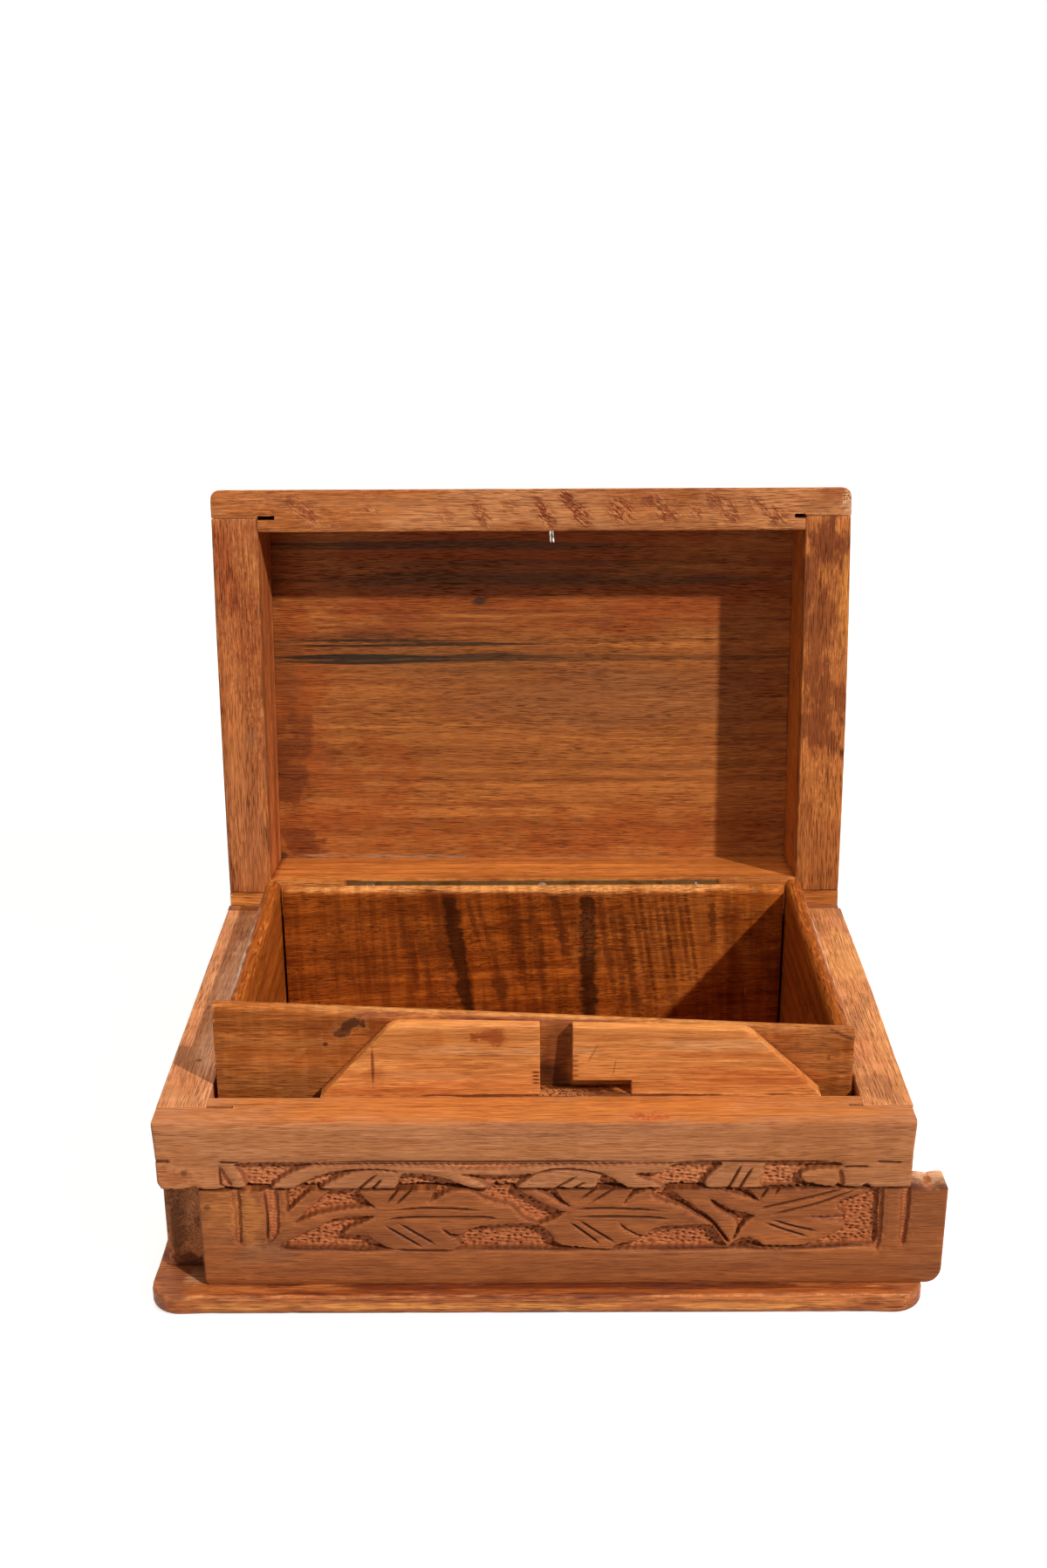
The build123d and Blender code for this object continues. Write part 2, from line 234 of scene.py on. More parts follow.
for amount, colour in (
        (spread["rings"], "Light"), (soak, "Stain"), (edge, "Worn"), (given["Mark"], "Marking")):
    tone = node(figure, "Mix", {0: amount, 6: tone, 7: given[colour]}, "RGBA")
shade = node(figure, "Math", (pore, 0.62), "MULTIPLY")
shade = node(figure, "Math", (curl, shade), "MAXIMUM")
shade = node(figure, "Math", (1.0, shade), "SUBTRACT")
shade = node(figure, "Math", (shade, spread["fibre"]), "MULTIPLY")
# dark fibres are redder than pale ones, as they hold more oil
green = node(figure, "Math", (shade, 1.3), "POWER")
blue = node(figure, "Math", (shade, 1.6), "POWER")
shade = node(figure, "CombineXYZ", (shade, green, blue))
tone = node(figure, "VectorMath", (tone, shade), "MULTIPLY")
# Cut mixes in the stain colour: dirt in the carving, and painted shade in its walls, punch marks, V-cuts and
# the boards' gap
tone = node(figure, "Mix", {0: given["Cut"], 6: tone, 7: given["Stain"]}, "RGBA")
rough = node(figure, "MapRange", (noises["fibre"], 0.25, 0.75, 0.44, 0.6))
rough = node(figure, "Math", (rough, pore), "MAXIMUM")
height = node(figure, "Math", (noises["fibre"], pore), "SUBTRACT")
height = node(figure, "Math", (height, noises["rings"]), "ADD")
figure_out = figure.nodes.new("NodeGroupOutput")
for name, kind, result in (
        ("Colour", "Color", tone), ("Roughness", "Float", rough), ("Height", "Float", height)):
    figure.interface.new_socket(name, in_out="OUTPUT", socket_type="NodeSocket" + kind)
    figure.links.new(main_output(result), figure_out.inputs[name])


def on_face(axis, first, second, across):
    """Values along a face's two axes and across it, put in the order X, Y, Z."""
    values = [first, second]
    values.insert("xyz".index(axis), across)
    return values


def marks_and_painted_light(tree, places, layers):
    """A mask and a colour for soft-edged marks, some of them painted light or shade, laid over each other in
    layers.

    A layer is a colour, how fine and how torn its edges are, the face it is on, and its spots.
    A face is the axis across it, and where along that axis spots lie and how deep they reach. A
    spot is a centre and half sizes along the face, in millimetres, a strength, a turn, and a
    place and depth of its own if it needs them. A layer that is torn by None is drawn as thin
    curling strokes, which lie the way its first spot is turned.
    """
    mask = None
    for tint, grain, tear, (axis, at, deep), spots in layers:
        spots = [spot + (0, at, deep)[len(spot) - 5:] for spot in spots]
        lie = on_face(axis, 0, 0, math.radians(spots[0][5]) if tear is None else 0)
        ragged = node(tree, "Mapping", {
            "Vector": places, "Rotation": lie, "Scale": [1 / g for g in grain]}, "TEXTURE")
        ragged = node(tree, "TexNoise", {"Vector": ragged, "Scale": 1.0, "Detail": 4.0, "Roughness": 0.65})
        if tear is None:
            strokes = node(tree, "Math", (ragged, 0.5), "SUBTRACT")
            strokes = node(tree, "Math", (strokes,), "ABSOLUTE")
            strokes = node(tree, "MapRange", (strokes, 0.09, 0.03), "SMOOTHSTEP")
        reach = 0.5 if tear is None else tear
        ragged = node(tree, "MapRange", (ragged, 0.3, 0.7, -reach, reach))
        layer = None
        for first, second, half_first, half_second, strength, turn, at, deep in spots:
            spot = node(tree, "Mapping", {
                "Vector": places, "Location": Vector(on_face(axis, first, second, at)) / 1000,
                "Scale": Vector(on_face(axis, half_first, half_second, deep)) / 1000,
                "Rotation": on_face(axis, 0, 0, math.radians(turn))}, "TEXTURE")
            spot = node(tree, "VectorMath", (spot,), "LENGTH")
            spot = node(tree, "Math", (spot, ragged), "ADD")
            spot = node(tree, "MapRange", (spot, 1.1, 0.45, 0.0, strength), "SMOOTHSTEP")
            layer = node(tree, "Math", (layer, spot), "MAXIMUM") if layer else spot
        if tear is None:
            layer = node(tree, "Math", (layer, strokes), "MULTIPLY")
        tint = linear(tint)
        colour = node(tree, "Mix", {0: layer, 6: colour, 7: tint}, "RGBA") if mask else tint
        mask = node(tree, "Math", (mask, layer), "MAXIMUM") if mask else layer
    return mask, colour


def oiled_walnut(piece, light, dark, stain, worn, turn=(0, 0, 0), shift=(0, 0, 0), finer=1.0,
                 relief=0.14, shine=0.18, marks=(), marks_in=None, **amounts):
    """Gives a board its own oiled walnut. turn brings its grain onto X, shift picks its log."""
    material = bpy.data.materials.new("oiled_walnut_" + piece.name)
    tree = empty_tree(material)
    places = node(tree, "TexCoord").outputs["Object"]
    angles = Euler([math.radians(a) for a in turn])
    seen = [angles.to_matrix() @ (v.co * finer) + Vector(shift) for v in piece.data.vertices]
    inputs = {
        "Place": node(tree, "Mapping", (places, shift, angles, (finer, finer, finer))),
        "Low": [min(values) for values in zip(*seen)], "High": [max(values) for values in zip(*seen)],
        "Light": linear(light), "Dark": linear(dark), "Stain": linear(stain), "Worn": linear(worn)}
    inputs.update({key.capitalize(): amount for key, amount in amounts.items()})
    if marks:
        shown = marks_in(tree, places) if marks_in else places
        inputs["Mark"], inputs["Marking"] = marks_and_painted_light(tree, shown, marks)
    for key in ("Cut", "Rub"):
        if key.lower() in piece.data.attributes:
            inputs[key] = node(tree, "Attribute", attribute_name=key.lower()).outputs["Fac"]
    wood = node(tree, "Group", inputs, node_tree=figure).outputs
    bump = node(tree, "Bump", {"Height": wood["Height"], "Strength": 1.0, "Distance": relief / 1000})
    shader = node(tree, "BsdfPrincipled", {
        "Base Color": wood["Colour"], "Roughness": wood["Roughness"], "Specular IOR Level": shine,
        "Normal": bump})
    node(tree, "OutputMaterial", {"Surface": shader})
    piece.data.materials.clear()
    piece.data.materials.append(material)


# Thick red-brown varnish on top, rubbed thin along the front, a painted highlight along the middle of the
# front face, darker along its foot, and a bare patch it missed.
base_marks = [
    ("#74300c", (40, 260, 60), 0.4, ("y", -91, 6), [(0, 8, 150, 2, 1)]),
    ("#c46a24", (40, 500, 60), 0.7, ("z", 8, 1.6), [(20, -92.6, 110, 1.4, 0.5), (-96, -92, 26, 1.5, 0.35)]),
    ("#8f4218", (50, 300, 200), 0.7, ("y", -95, 3), [
        (-20, 5.6, 130, 1.1, 0.6), (-126, 5, 9, 6, 0.75, 0, -76, 26), (-112, 5, 16, 3, 0.6, 0, -93, 6),
        (116, 4, 22, 4, 0.8, 0, -92, 8)]),
    # painted highlight along the middle of the front face
    ("#f29e50", (50, 300, 400), 0.6, ("y", -95.5, 3), [
        (-20, 3.6, 80, 1.6, 0.9), (66, 3.6, 54, 1.5, 0.9), (-100, 3.6, 24, 1.5, 0.75, 0, -94, 4)]),
    ("#5c2408", (70, 300, 400), 0.6, ("y", -95.4, 6), [
        (0, 0.4, 160, 1.5, 0.9), (-30, 7, 90, 0.5, 0.5, 0, -95.2, 3)]),
    ("#8a5030", (90, 90, 90), 0.7, ("z", 8, 2), [
        (-124, -84, 8, 14, 0.8), (-112, -76, 10, 5, 0.6), (126, -88, 10, 12, 0.6)]),
    ("#c08a60", (160, 160, 160), 0.5, ("z", 8, 2), [(-114.5, -84, 9, 5.5, 0.9, 35)]),
]

base = node_copy("base_plate")
slice_up(base, (base_loop_step, base_loop_step, 0))
base_low, base_high = span("base_plate")
for v in base.verts:
    past = (abs(v.co.x) - (base_high.x - base_corner_reach)) / base_corner_reach
    if past > 0:
        beside = max(0.0, 1 - (base_high.y - abs(v.co.y)) / base_corner_deep)
        v.co.y -= math.copysign(base_corner_bend * past ** 2 * beside, v.co.y)
    fill = base_corner_fill * share(abs(v.co.x), base_high.x - base_corner_round, base_high.x)
    fill *= share(v.co.y, base_low.y + base_corner_round, base_low.y)
    v.co.x = math.copysign(min(base_high.x, abs(v.co.x) + fill), v.co.x)
    v.co.y = max(base_low.y, v.co.y - fill)
    v.co.x += base_right_spare * max(0.0, v.co.x / base_high.x)
wear_down(base, 1, sag=0.05, chip=0.5)
base_plate = set_in_place("walnut_base", base, "case", "base_plate")
oiled_walnut(
    base_plate, "#e98d49", "#b35f2a", "#9c491b", "#f6b571", shift=(0.31, 0.17, 0.05),
    wear=0.3, blotch=0.5, fleck=0.4, shine=0.3, marks=base_marks)


# ------------------------ base nails
# Wire nails driven up through the base, with flat heads sunk just under its face.
# Plain drawn steel that has gone dull and brown.

def dull_metal(name, bare, film, patch_size, detail=4.0, fine=0.5, patches=(0.42, 0.62),
               rough=(0.32, 0.62), metallic=(1.0, 0.45), rolled=False):
    """Old metal under a brown film, in patches of patch_size millimetres, rolled or drawn."""
    material = bpy.data.materials.new(name)
    tree = empty_tree(material)
    places = node(tree, "TexCoord").outputs["Object"]
    bloom = node(tree, "TexNoise", {
        "Vector": places, "Scale": 1000 / patch_size, "Detail": detail, "Roughness": fine})
    bloom = node(tree, "MapRange", (bloom, *patches))
    height = bloom
    if rolled:      # fine lines along the strip, 0.4 mm apart
        height = node(tree, "Mapping", {"Vector": places, "Scale": (30.0, 2600.0, 2600.0)})
        height = node(tree, "TexNoise", {"Vector": height, "Scale": 1.0, "Detail": 2.0})
    shader = node(tree, "BsdfPrincipled", {
        "Base Color": node(tree, "Mix", {0: bloom, 6: linear(bare), 7: linear(film)}, "RGBA"),
        "Roughness": node(tree, "MapRange", (bloom, 0.0, 1.0, *rough)),
        "Metallic": node(tree, "MapRange", (bloom, 0.0, 1.0, *metallic)),
        "Normal": node(tree, "Bump", {"Height": height, "Distance": 0.00003 if rolled else 0.00005})})
    node(tree, "OutputMaterial", {"Surface": shader})
    return material


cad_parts["base_nails"].data.materials[0] = dull_metal("drawn_steel_nails", "#8d8a86", "#5a4334", 1.4)


# ------------------------ side boards
# Two walnut boards that run from front to back between the laps of the front and back
# boards, glued end on. Their tops are the case's rim, planed and mottled with old oil.

side_bulge = 0.9                # mm that the right board stands proud, behind its middle
side_bulge_run = (-45, 5)       # mm along the board, over which that comes
outer_face_x = 120              # mm, an end or face further out than this is an outer one
board_loop_step = 3.0


def ease_edges(bm, edges, offset, segments, clamp=False):
    """Rounds edges over by offset millimetres."""
    bmesh.ops.bevel(
        bm, geom=edges, offset=offset, segments=segments, profile=0.5, affect="EDGES", material=-1,
        clamp_overlap=clamp)


def plain_board(low, high):
    """A square-edged board between two corners."""
    bm = bmesh.new()
    bmesh.ops.create_cube(bm, size=1.0)
    for v in bm.verts:
        v.co = Vector([low[a] if v.co[a] < 0 else high[a] for a in range(3)])
    return bm


def sawn_board(low, high, radius):
    """A board between two corners, with eased edges and loops to let it wander."""
    bm = plain_board(low, high)
    ease_edges(bm, bm.edges[:], radius, 3)
    slice_up(bm, (board_loop_step, board_loop_step, board_loop_step))
    return bm


rim = ("z", 71.5, 3)
end_grain = ("y", -78, 3)
# Old oil on the rim, with painted light on the band that the left lining shades, and the board's front end
# grain: saw marks over a foot that is darker, and painted shade on the end's outer strip.
left_side_marks = [
    ("#a8663c", (50, 30, 50), 0.8, rim, [(-119, -44, 7, 22, 0.35), (-116, 66, 9, 12, 0.7)]),
    ("#e8a872", (60, 30, 60), 0.7, rim, [(-123, 10, 5, 60, 0.5), (-118, -72, 10, 10, 0.5)]),
    # painted light on the band of the rim that the left lining shades
    ("#ffbe94", (60, 30, 60), 0.4, rim, [(-114, 0, 8, 90, 0.8)]),
    ("#5a3018", (200, 200, 200), 0.4, ("z", 71.5, 2), [(-117.6, -46.5, 1.6, 1.2, 0.9)]),
    ("#a65424", (60, 60, 60), 0.7, end_grain, [(-121.5, 32, 4, 16, 0.6, 12)]),
    ("#5e2c12", (200, 60, 120), 0.8, end_grain, [
        (-118, 10, 12, 5, 0.9), (-118, 45, 12, 3, 0.8), (-113, 30, 4, 24, 0.6)]),
    # painted shade on the outer strip of the end grain
    ("#5e3016", (150, 60, 150), 0.5, end_grain, [(-124, 24, 5, 22, 0.8)]),
    ("#2a1006", (300, 60, 300), 0.6, end_grain, [(-117, 8.6, 11, 1.5, 0.9)]),
    ("#d89058", (200, 200, 200), 0.2, end_grain, [
        (-117, 16 + 3.0 * step, 9, 0.5, 0.4, -32) for step in range(6)]),
]
# Cloudy patches of brown and orange oil on the right rim.
right_side_marks = [
    ("#e09a58", (50, 40, 50), 0.8, rim, [(122, 26, 8, 36, 0.7), (125, -40, 4, 50, 0.5)]),
    ("#a0603c", (70, 50, 60), 0.6, rim, [
        (119, -16, 10, 26, 0.75, -12), (120, -62, 12, 18, 0.75), (115, 60, 7, 26, 0.7),
        (125, 74, 9, 8, 0.7)]),
]

for side, seed, marks in (("left", 2, left_side_marks), ("right", 3, right_side_marks)):
    board = sawn_board(*span(side + "_side"), 0.5)
    if side == "right":
        for v in board.verts:
            if v.co.x > outer_face_x:
                v.co.x += side_bulge * share(v.co.y, *side_bulge_run)
    wear_down(board, seed, sag=0.12)
    board = set_in_place("walnut_" + side + "_side", board, "case", side + "_side")
    oiled_walnut(
        board, "#e49561", "#d0834f", "#b46c3d", "#f5be89", turn=(0, 0, -90),
        shift=(0.137 * seed, 0.093 * seed, 0), wear=0.25, blotch=0.5, fleck=0.5, curl=0.12, marks=marks)


# ------------------------ back board
# The back of the case, lapped over the sides. Its outer top edge is planed off at a slope
# so that the lid can lean back, and the hinge's leaf is let into its top.

back = node_copy("back_board")
slice_up(back, (4.0, 0, 4.0))
wear_down(back, 4, sag=0.1, chip=0.3)
back_board = set_in_place("walnut_back", back, "case", "back_board")
oiled_walnut(back_board, "#c07543", "#935129", "#864622", "#d39a66", shift=(0.4, 0.1, 0.2), wear=0.25)


# ------------------------ carved front
# The front is two walnut boards one above the other: a rail fixed to the case, and below it
# a panel that slides. A running vine with three leaves is carved across both, left standing
# by cutting the ground away with gouges and stippling it with a punch.

ground_depth = 2.6              # mm that the ground is cut away
shallow_depth = 1.2
cut_wall = 0.9                  # mm over which its side goes down
vein_depth = 1.2
vein_half_width = 0.52
punch_pitch = (2.2, 1.6)        # mm between punch marks, along and up
punch_half = (0.9, 0.6)         # mm, the marks are a little wider than they are tall
punch_depth = 1.0
carving_step = (0.34, 0.26)     # mm between the face's columns, and between its rows
plain_step = 1.2                # mm between rows above and below the carving
end_round = 0.9                 # mm that the boards' ends are rounded over
long_round = 0.5                # mm that their long edges are
seam_chip = 0.8                 # mm, the deepest chips out of the two boards' meeting edges
seam_reach = 2.5                # mm that a chip reaches in from the edge
rail_carved = (46.6, 57.6)      # mm up, between which the rail is carved
panel_carved = (20.8, 46.1)     # and the panel
rail_lean = 0.5                 # mm that the rail's ends lean out towards the rim
rail_lean_foot = 60             # mm up, where that starts
rail_lean_height = 11.5         # mm from there to the rim
carving_seed = 1.0

# Ground that is cut away, as outlines in millimetres along the front and up from its foot.
# Distances along are those of the rail, which the panel matches when it is slid shut.
ground = {
    "left_corner": [(-98.6, 56.5), (-97.8, 52), (-96.9, 47), (-96.7, 41), (-96.6, 37.3), (-92.5, 41.5),
        (-88.8, 45.4), (-86.8, 48.2), (-83.5, 51), (-79.5, 53.4), (-75, 55), (-74, 56.5)],
    "first_arch": [(-94.3, 33.2), (-88.8, 39.2), (-83.2, 44.8), (-80.5, 47), (-75.5, 50.2), (-68, 53),
        (-62, 54), (-56, 54.2), (-50, 54), (-45, 52.7), (-50, 53.1), (-57, 53.1), (-62, 52.1), (-67, 49.6),
        (-70.8, 47), (-71.8, 45), (-69, 41.3), (-67.2, 39), (-70, 38.9), (-78, 38), (-86, 36.4),
        (-90, 34.7)],
    "below_first_stem": [(-99.5, 24.5), (-95, 27.2), (-88, 30.8), (-80, 34.9), (-72, 35.8), (-67.5, 35.3),
        (-72, 32.6), (-76.3, 30.4), (-77.6, 28.6), (-74.5, 28.3), (-70.5, 28.1), (-67.8, 26.4), (-65, 24.2),
        (-61.5, 22.3), (-66, 22.1), (-75, 22.2), (-85, 22.3), (-92, 22.4), (-99.5, 22.6)],
    "under_second_stem": [(-44.3, 52), (-41, 52.4), (-36, 52), (-30, 50.5), (-25, 48.3), (-20, 46.2),
        (-15, 43.5), (-10, 40.3), (-5, 37.7), (-3.2, 37), (-8, 33.6), (-12, 32), (-14.5, 32.8),
        (-17.5, 34.5), (-19.5, 37), (-21.5, 39.2), (-26, 40.6), (-30.5, 42.3), (-34.5, 45), (-38, 45.8),
        (-42, 45), (-46, 42.6), (-48.7, 41.3), (-47.6, 44), (-46.5, 47), (-45.3, 50)],
    "between_lower_lobes": [(-45, 30.8), (-41.5, 28.6), (-38, 28.6), (-35.5, 30.2), (-32, 31.6), (-25, 32.2),
        (-16, 32.6), (-12, 31.8), (-9.3, 30), (-7.5, 27.5), (-6.3, 25.2), (-3, 23.8), (2, 23.2), (5, 22.4),
        (-3, 21.9), (-10, 22), (-20, 22.1), (-30, 22.1), (-36, 22), (-41, 21.9), (-38.8, 24), (-39.8, 26.3),
        (-42.2, 27.4)],
    "over_second_stem": [(-24.5, 51.9), (-18, 51.7), (-12, 51.6), (-5, 51.9), (0, 52.1), (-1.6, 50.4),
        (-4.2, 48.2), (-6, 46.2), (-4.4, 42.6), (-1.8, 39.4), (-4.2, 39.8), (-8, 42.6), (-12, 45.2),
        (-15.5, 47), (-20, 49.6)],
    "second_arch": [(20.8, 48.6), (19.5, 46), (17.3, 42.5), (16.6, 40.2), (18.6, 42.6), (21.5, 44.4),
        (25.3, 45.6), (26.2, 43), (29.5, 40.9), (35, 39.3), (40, 36), (45, 32.8), (48, 29), (51, 25),
        (52.3, 25.6), (49.3, 30), (46.3, 34.3), (41, 38.6), (36, 42.5), (31.5, 46.2), (28, 49), (24.5, 51),
        (22.5, 51.6)],
    "below_second_leaf": [(15.4, 32.4), (19.5, 29.2), (24, 27.8), (26, 29.8), (29.5, 31.3), (36, 31.7),
        (45, 32), (47.8, 29.3), (50.3, 25.6), (51.3, 23), (45, 22.1), (35, 22.1), (25, 21.9), (16, 21.8),
        (12.5, 22.4), (14.5, 24.2), (18.5, 25.2), (22, 26.2), (20.5, 27.8), (17, 29.8)],
    "fork": [(45, 42), (48.5, 40.4), (52.3, 38), (57, 36.7), (60.4, 35.2), (58, 33), (56, 30), (54.6, 27),
        (53.3, 26.2), (54.7, 31), (53.2, 34.6), (50.3, 36.2), (47.3, 38.6)],
    "over_fork": [(34, 52.3), (42, 52.6), (48, 56.4), (62, 56.4), (59.3, 52.5), (57, 49), (57.6, 46.5),
        (61.8, 41.2), (56, 43), (50, 45), (44, 46), (40, 48.2), (35, 50.2)],
    "right_corner": [(54, 25.2), (57.5, 26.8), (61, 26.1), (63.2, 24.2), (66, 23.6), (75, 23.6), (80, 24.6),
        (84, 26.6), (88.3, 29), (90.4, 31.2), (90.6, 35.6), (88.2, 38), (88.8, 41), (92.5, 43), (97, 44.3),
        (99.5, 46.6), (102, 47), (102.2, 36), (102.2, 24.4), (95, 23.4), (85, 22.5), (75, 22.2), (62, 22.1),
        (52.5, 22.3)],
    "top_right": [(77.5, 56.3), (90, 56.2), (101, 56.2), (101.3, 54.2), (94, 53.4), (89, 51.8), (90, 49),
        (96, 47.4), (99.5, 46.3), (88, 46.3), (76.5, 46.5), (75.2, 49), (76.3, 52)],
}
# Shallow ground with no punch marks: the run under the top border, and the frame's parts.
shallow = {
    "top_run": [(-78, 56.5), (-60, 56.6), (-30, 56.5), (0, 56.5), (30, 56.4), (48, 56.4), (44, 55.3),
        (30, 55.4), (25, 54.9), (10, 54.9), (-2, 54.6), (-8, 53.8), (-25, 53.8), (-35, 54.5), (-45, 54.9),
        (-60, 55), (-75, 55)],
    "left_notch": [(-104.7, 55.3), (-104.3, 48.2), (-101, 48.2)],
    "left_frame": [(-104.2, 46.2), (-99.8, 46.2), (-99.2, 38), (-99.9, 29), (-103.7, 24.4), (-103.2, 32)],
    "right_frame": [(101, 24.2), (101.1, 46), (101.2, 52.6), (102.7, 52.6), (103.5, 46), (103.6, 24.4)],
    "left_dent": [(-115.2, 46.6), (-112.2, 46.6), (-111.9, 36), (-112.6, 25), (-114.6, 27), (-114.4, 38)],
    "right_dent": [(109.2, 46.8), (112.2, 46.8), (112.5, 36), (111.8, 24), (109.6, 25), (109.4, 36)],
    "third_leaf_notch": [(78.2, 34.9), (82, 35.2), (86.5, 35.3), (90.8, 35.6), (90.8, 32.9), (86, 33.3),
        (82, 34)],
}
# Veins and grooves, cut with a V tool: each a line that fades at both ends.
veins = [
    [(-62.5, 37.8), (-53, 38.7), (-45, 38.7), (-38, 38.4), (-31, 37.8)],
    [(-64, 34), (-58, 35), (-45, 35.3), (-30, 35.1), (-26, 34.4)],
    [(-63.3, 40.3), (-58.5, 46.6), (-52, 52.6)], [(-60.7, 39.4), (-54, 46.7), (-51, 50.3)],
    [(-64, 32), (-57.5, 27.3), (-51.5, 23.2)], [(-59.2, 32.8), (-53, 28.4), (-47, 24.2)],
    [(0, 38), (5, 38.4), (12, 38.5), (22, 38), (31, 37.2)],
    [(-0.5, 35.2), (12, 35.2), (25, 34.9), (32, 34.2)], [(1.4, 41.6), (7.6, 46.7), (14.6, 51.5)],
    [(4.6, 40.2), (13.8, 46.7), (17, 48.8)], [(-1.7, 33.1), (3.5, 28.8), (8.6, 24.4)],
    [(1.5, 33.8), (7, 29.6), (14, 24.6)], [(62.5, 38), (65, 39), (75, 41.6), (85, 44.5), (90.5, 46.6)],
    [(65, 35.5), (72, 37.5), (80, 39.8), (88, 43), (94.5, 46.4)], [(64, 32.7), (71, 29.7), (79, 27)],
    [(66, 33.9), (74, 31.1), (82, 29.2)], [(61.8, 41.6), (65, 47), (69, 56)],
    [(66.8, 43.2), (69.3, 48.2), (72.6, 54.6)],
    [(-2, 51.4), (3, 53), (8, 53.9), (15, 53.5), (22, 52), (27, 49.6)],
    [(-99.5, 24.4), (-98.6, 22.9), (-94, 22.3), (-84, 22.3), (-72, 21.9), (-66, 22.1), (-60, 21.6)],
    [(-62, 22.5), (-55, 21.9), (-48, 21.8), (-39, 21.9)],
    [(-41, 21.9), (-30, 22.2), (-18, 22.2), (-6, 21.9), (4, 22.2), (12, 22), (20, 21.8)],
    [(18, 21.9), (28, 22.1), (40, 22.1), (50, 22.3), (55, 22.8), (62, 22), (70, 21.8)],
    [(66, 22.8), (74, 22.2), (84, 22.5), (94, 23.3), (101, 23.2)],
    [(-78, 56.8), (-60, 56.9), (-40, 56.9), (-20, 56.8), (0, 56.8), (20, 56.8), (46, 56.7)],
    [(44, 56.6), (60, 56.7), (76, 56.5), (90, 56.5), (101, 56.4)],
    [(-105, 57.2), (-104.9, 50), (-104.3, 47.6), (-100.5, 46.6)], [(-104, 46.6), (-103.4, 36), (-104, 24.4)],
    [(-105.5, 56.9), (-98, 56.7)], [(102, 54.2), (106, 54.6), (112, 54.4)], [(113, 56.4), (122.5, 56.1)],
    [(-127, 57.2), (-121, 57.2)],
]


def curve_through(points, closed, steps=5):
    """A smooth line through a few points, back to its start if it is closed."""
    points = np.array(points, float)
    line = []
    for index in range(len(points) if closed else len(points) - 1):
        around = range(index - 1, index + 3)
        a, b, c, d = points.take(around, axis=0, mode="wrap" if closed else "clip")
        for t in np.arange(steps) / steps:
            bow = (2 * a - 5 * b + 4 * c - d) * t + (3 * (b - c) + d - a) * t * t
            line.append(b + 0.5 * t * (c - a + bow))
    line.append(points[0 if closed else -1])
    return np.array(line)


def away_from(line, x, z):
    """Each place's distance to a line, and how far along the line the nearest point is."""
    best = np.full(x.shape, 1e9)
    along = np.zeros(x.shape)
    for index, ((ax, az), (bx, bz)) in enumerate(zip(line, line[1:])):
        run = (bx - ax) ** 2 + (bz - az) ** 2 + 1e-9
        t = np.clip(((x - ax) * (bx - ax) + (z - az) * (bz - az)) / run, 0, 1)
        far = np.hypot(x - ax - t * (bx - ax), z - az - t * (bz - az))
        along = np.where(far < best, (index + t) / (len(line) - 1), along)
        best = np.minimum(best, far)
    return best, along


def within(line, x, z):
    """Whether each place is inside a closed line."""
    inside = np.zeros(x.shape, bool)
    for (ax, az), (bx, bz) in zip(line, line[1:]):
        if az != bz:
            crosses = (az > z) != (bz > z)
            inside ^= crosses & (x < (bx - ax) * (z - az) / (bz - az) + ax)
    return inside


def close_to(line, reach, x, z):
    """Which places lie in a line's box, or up to reach outside it."""
    low = line.min(0) - reach
    high = line.max(0) + reach
    return np.flatnonzero((x > low[0]) & (x < high[0]) & (z > low[1]) & (z < high[1]))


def ease(value, low, high):
    """A smooth step from 0 at low to 1 at high."""
    t = np.clip((value - low) / (high - low), 0, 1)
    return t * t * (3 - 2 * t)


def punch_marks(x, z):
    """Depth of the punched dots, from 0 to 1, scattered about a grid of cells."""
    depth = np.zeros(x.shape)
    for step_x in (-1, 0, 1):
        for step_z in (-1, 0, 1):
            cx = np.floor(x / punch_pitch[0]) + step_x
            cz = np.floor(z / punch_pitch[1]) + step_z
            throw = np.sin(cx * 127.1 + cz * 311.7 + carving_seed) * 43758.5453
            other = np.sin(cx * 269.5 + cz * 183.3 + carving_seed) * 23421.631
            throw = throw - np.floor(throw)
            other = other - np.floor(other)
            far_x = x - (cx + 0.5 + 0.5 * (cz % 2) + 0.8 * (throw - 0.5)) * punch_pitch[0]
            far_z = z - (cz + 0.5 + 0.8 * (other - 0.5)) * punch_pitch[1]
            far = np.hypot(far_x / punch_half[0], far_z / punch_half[1])
            depth = np.maximum(depth, (0.35 + 0.65 * throw) * (1 - ease(far, 0.2, 1.15)))
    return depth


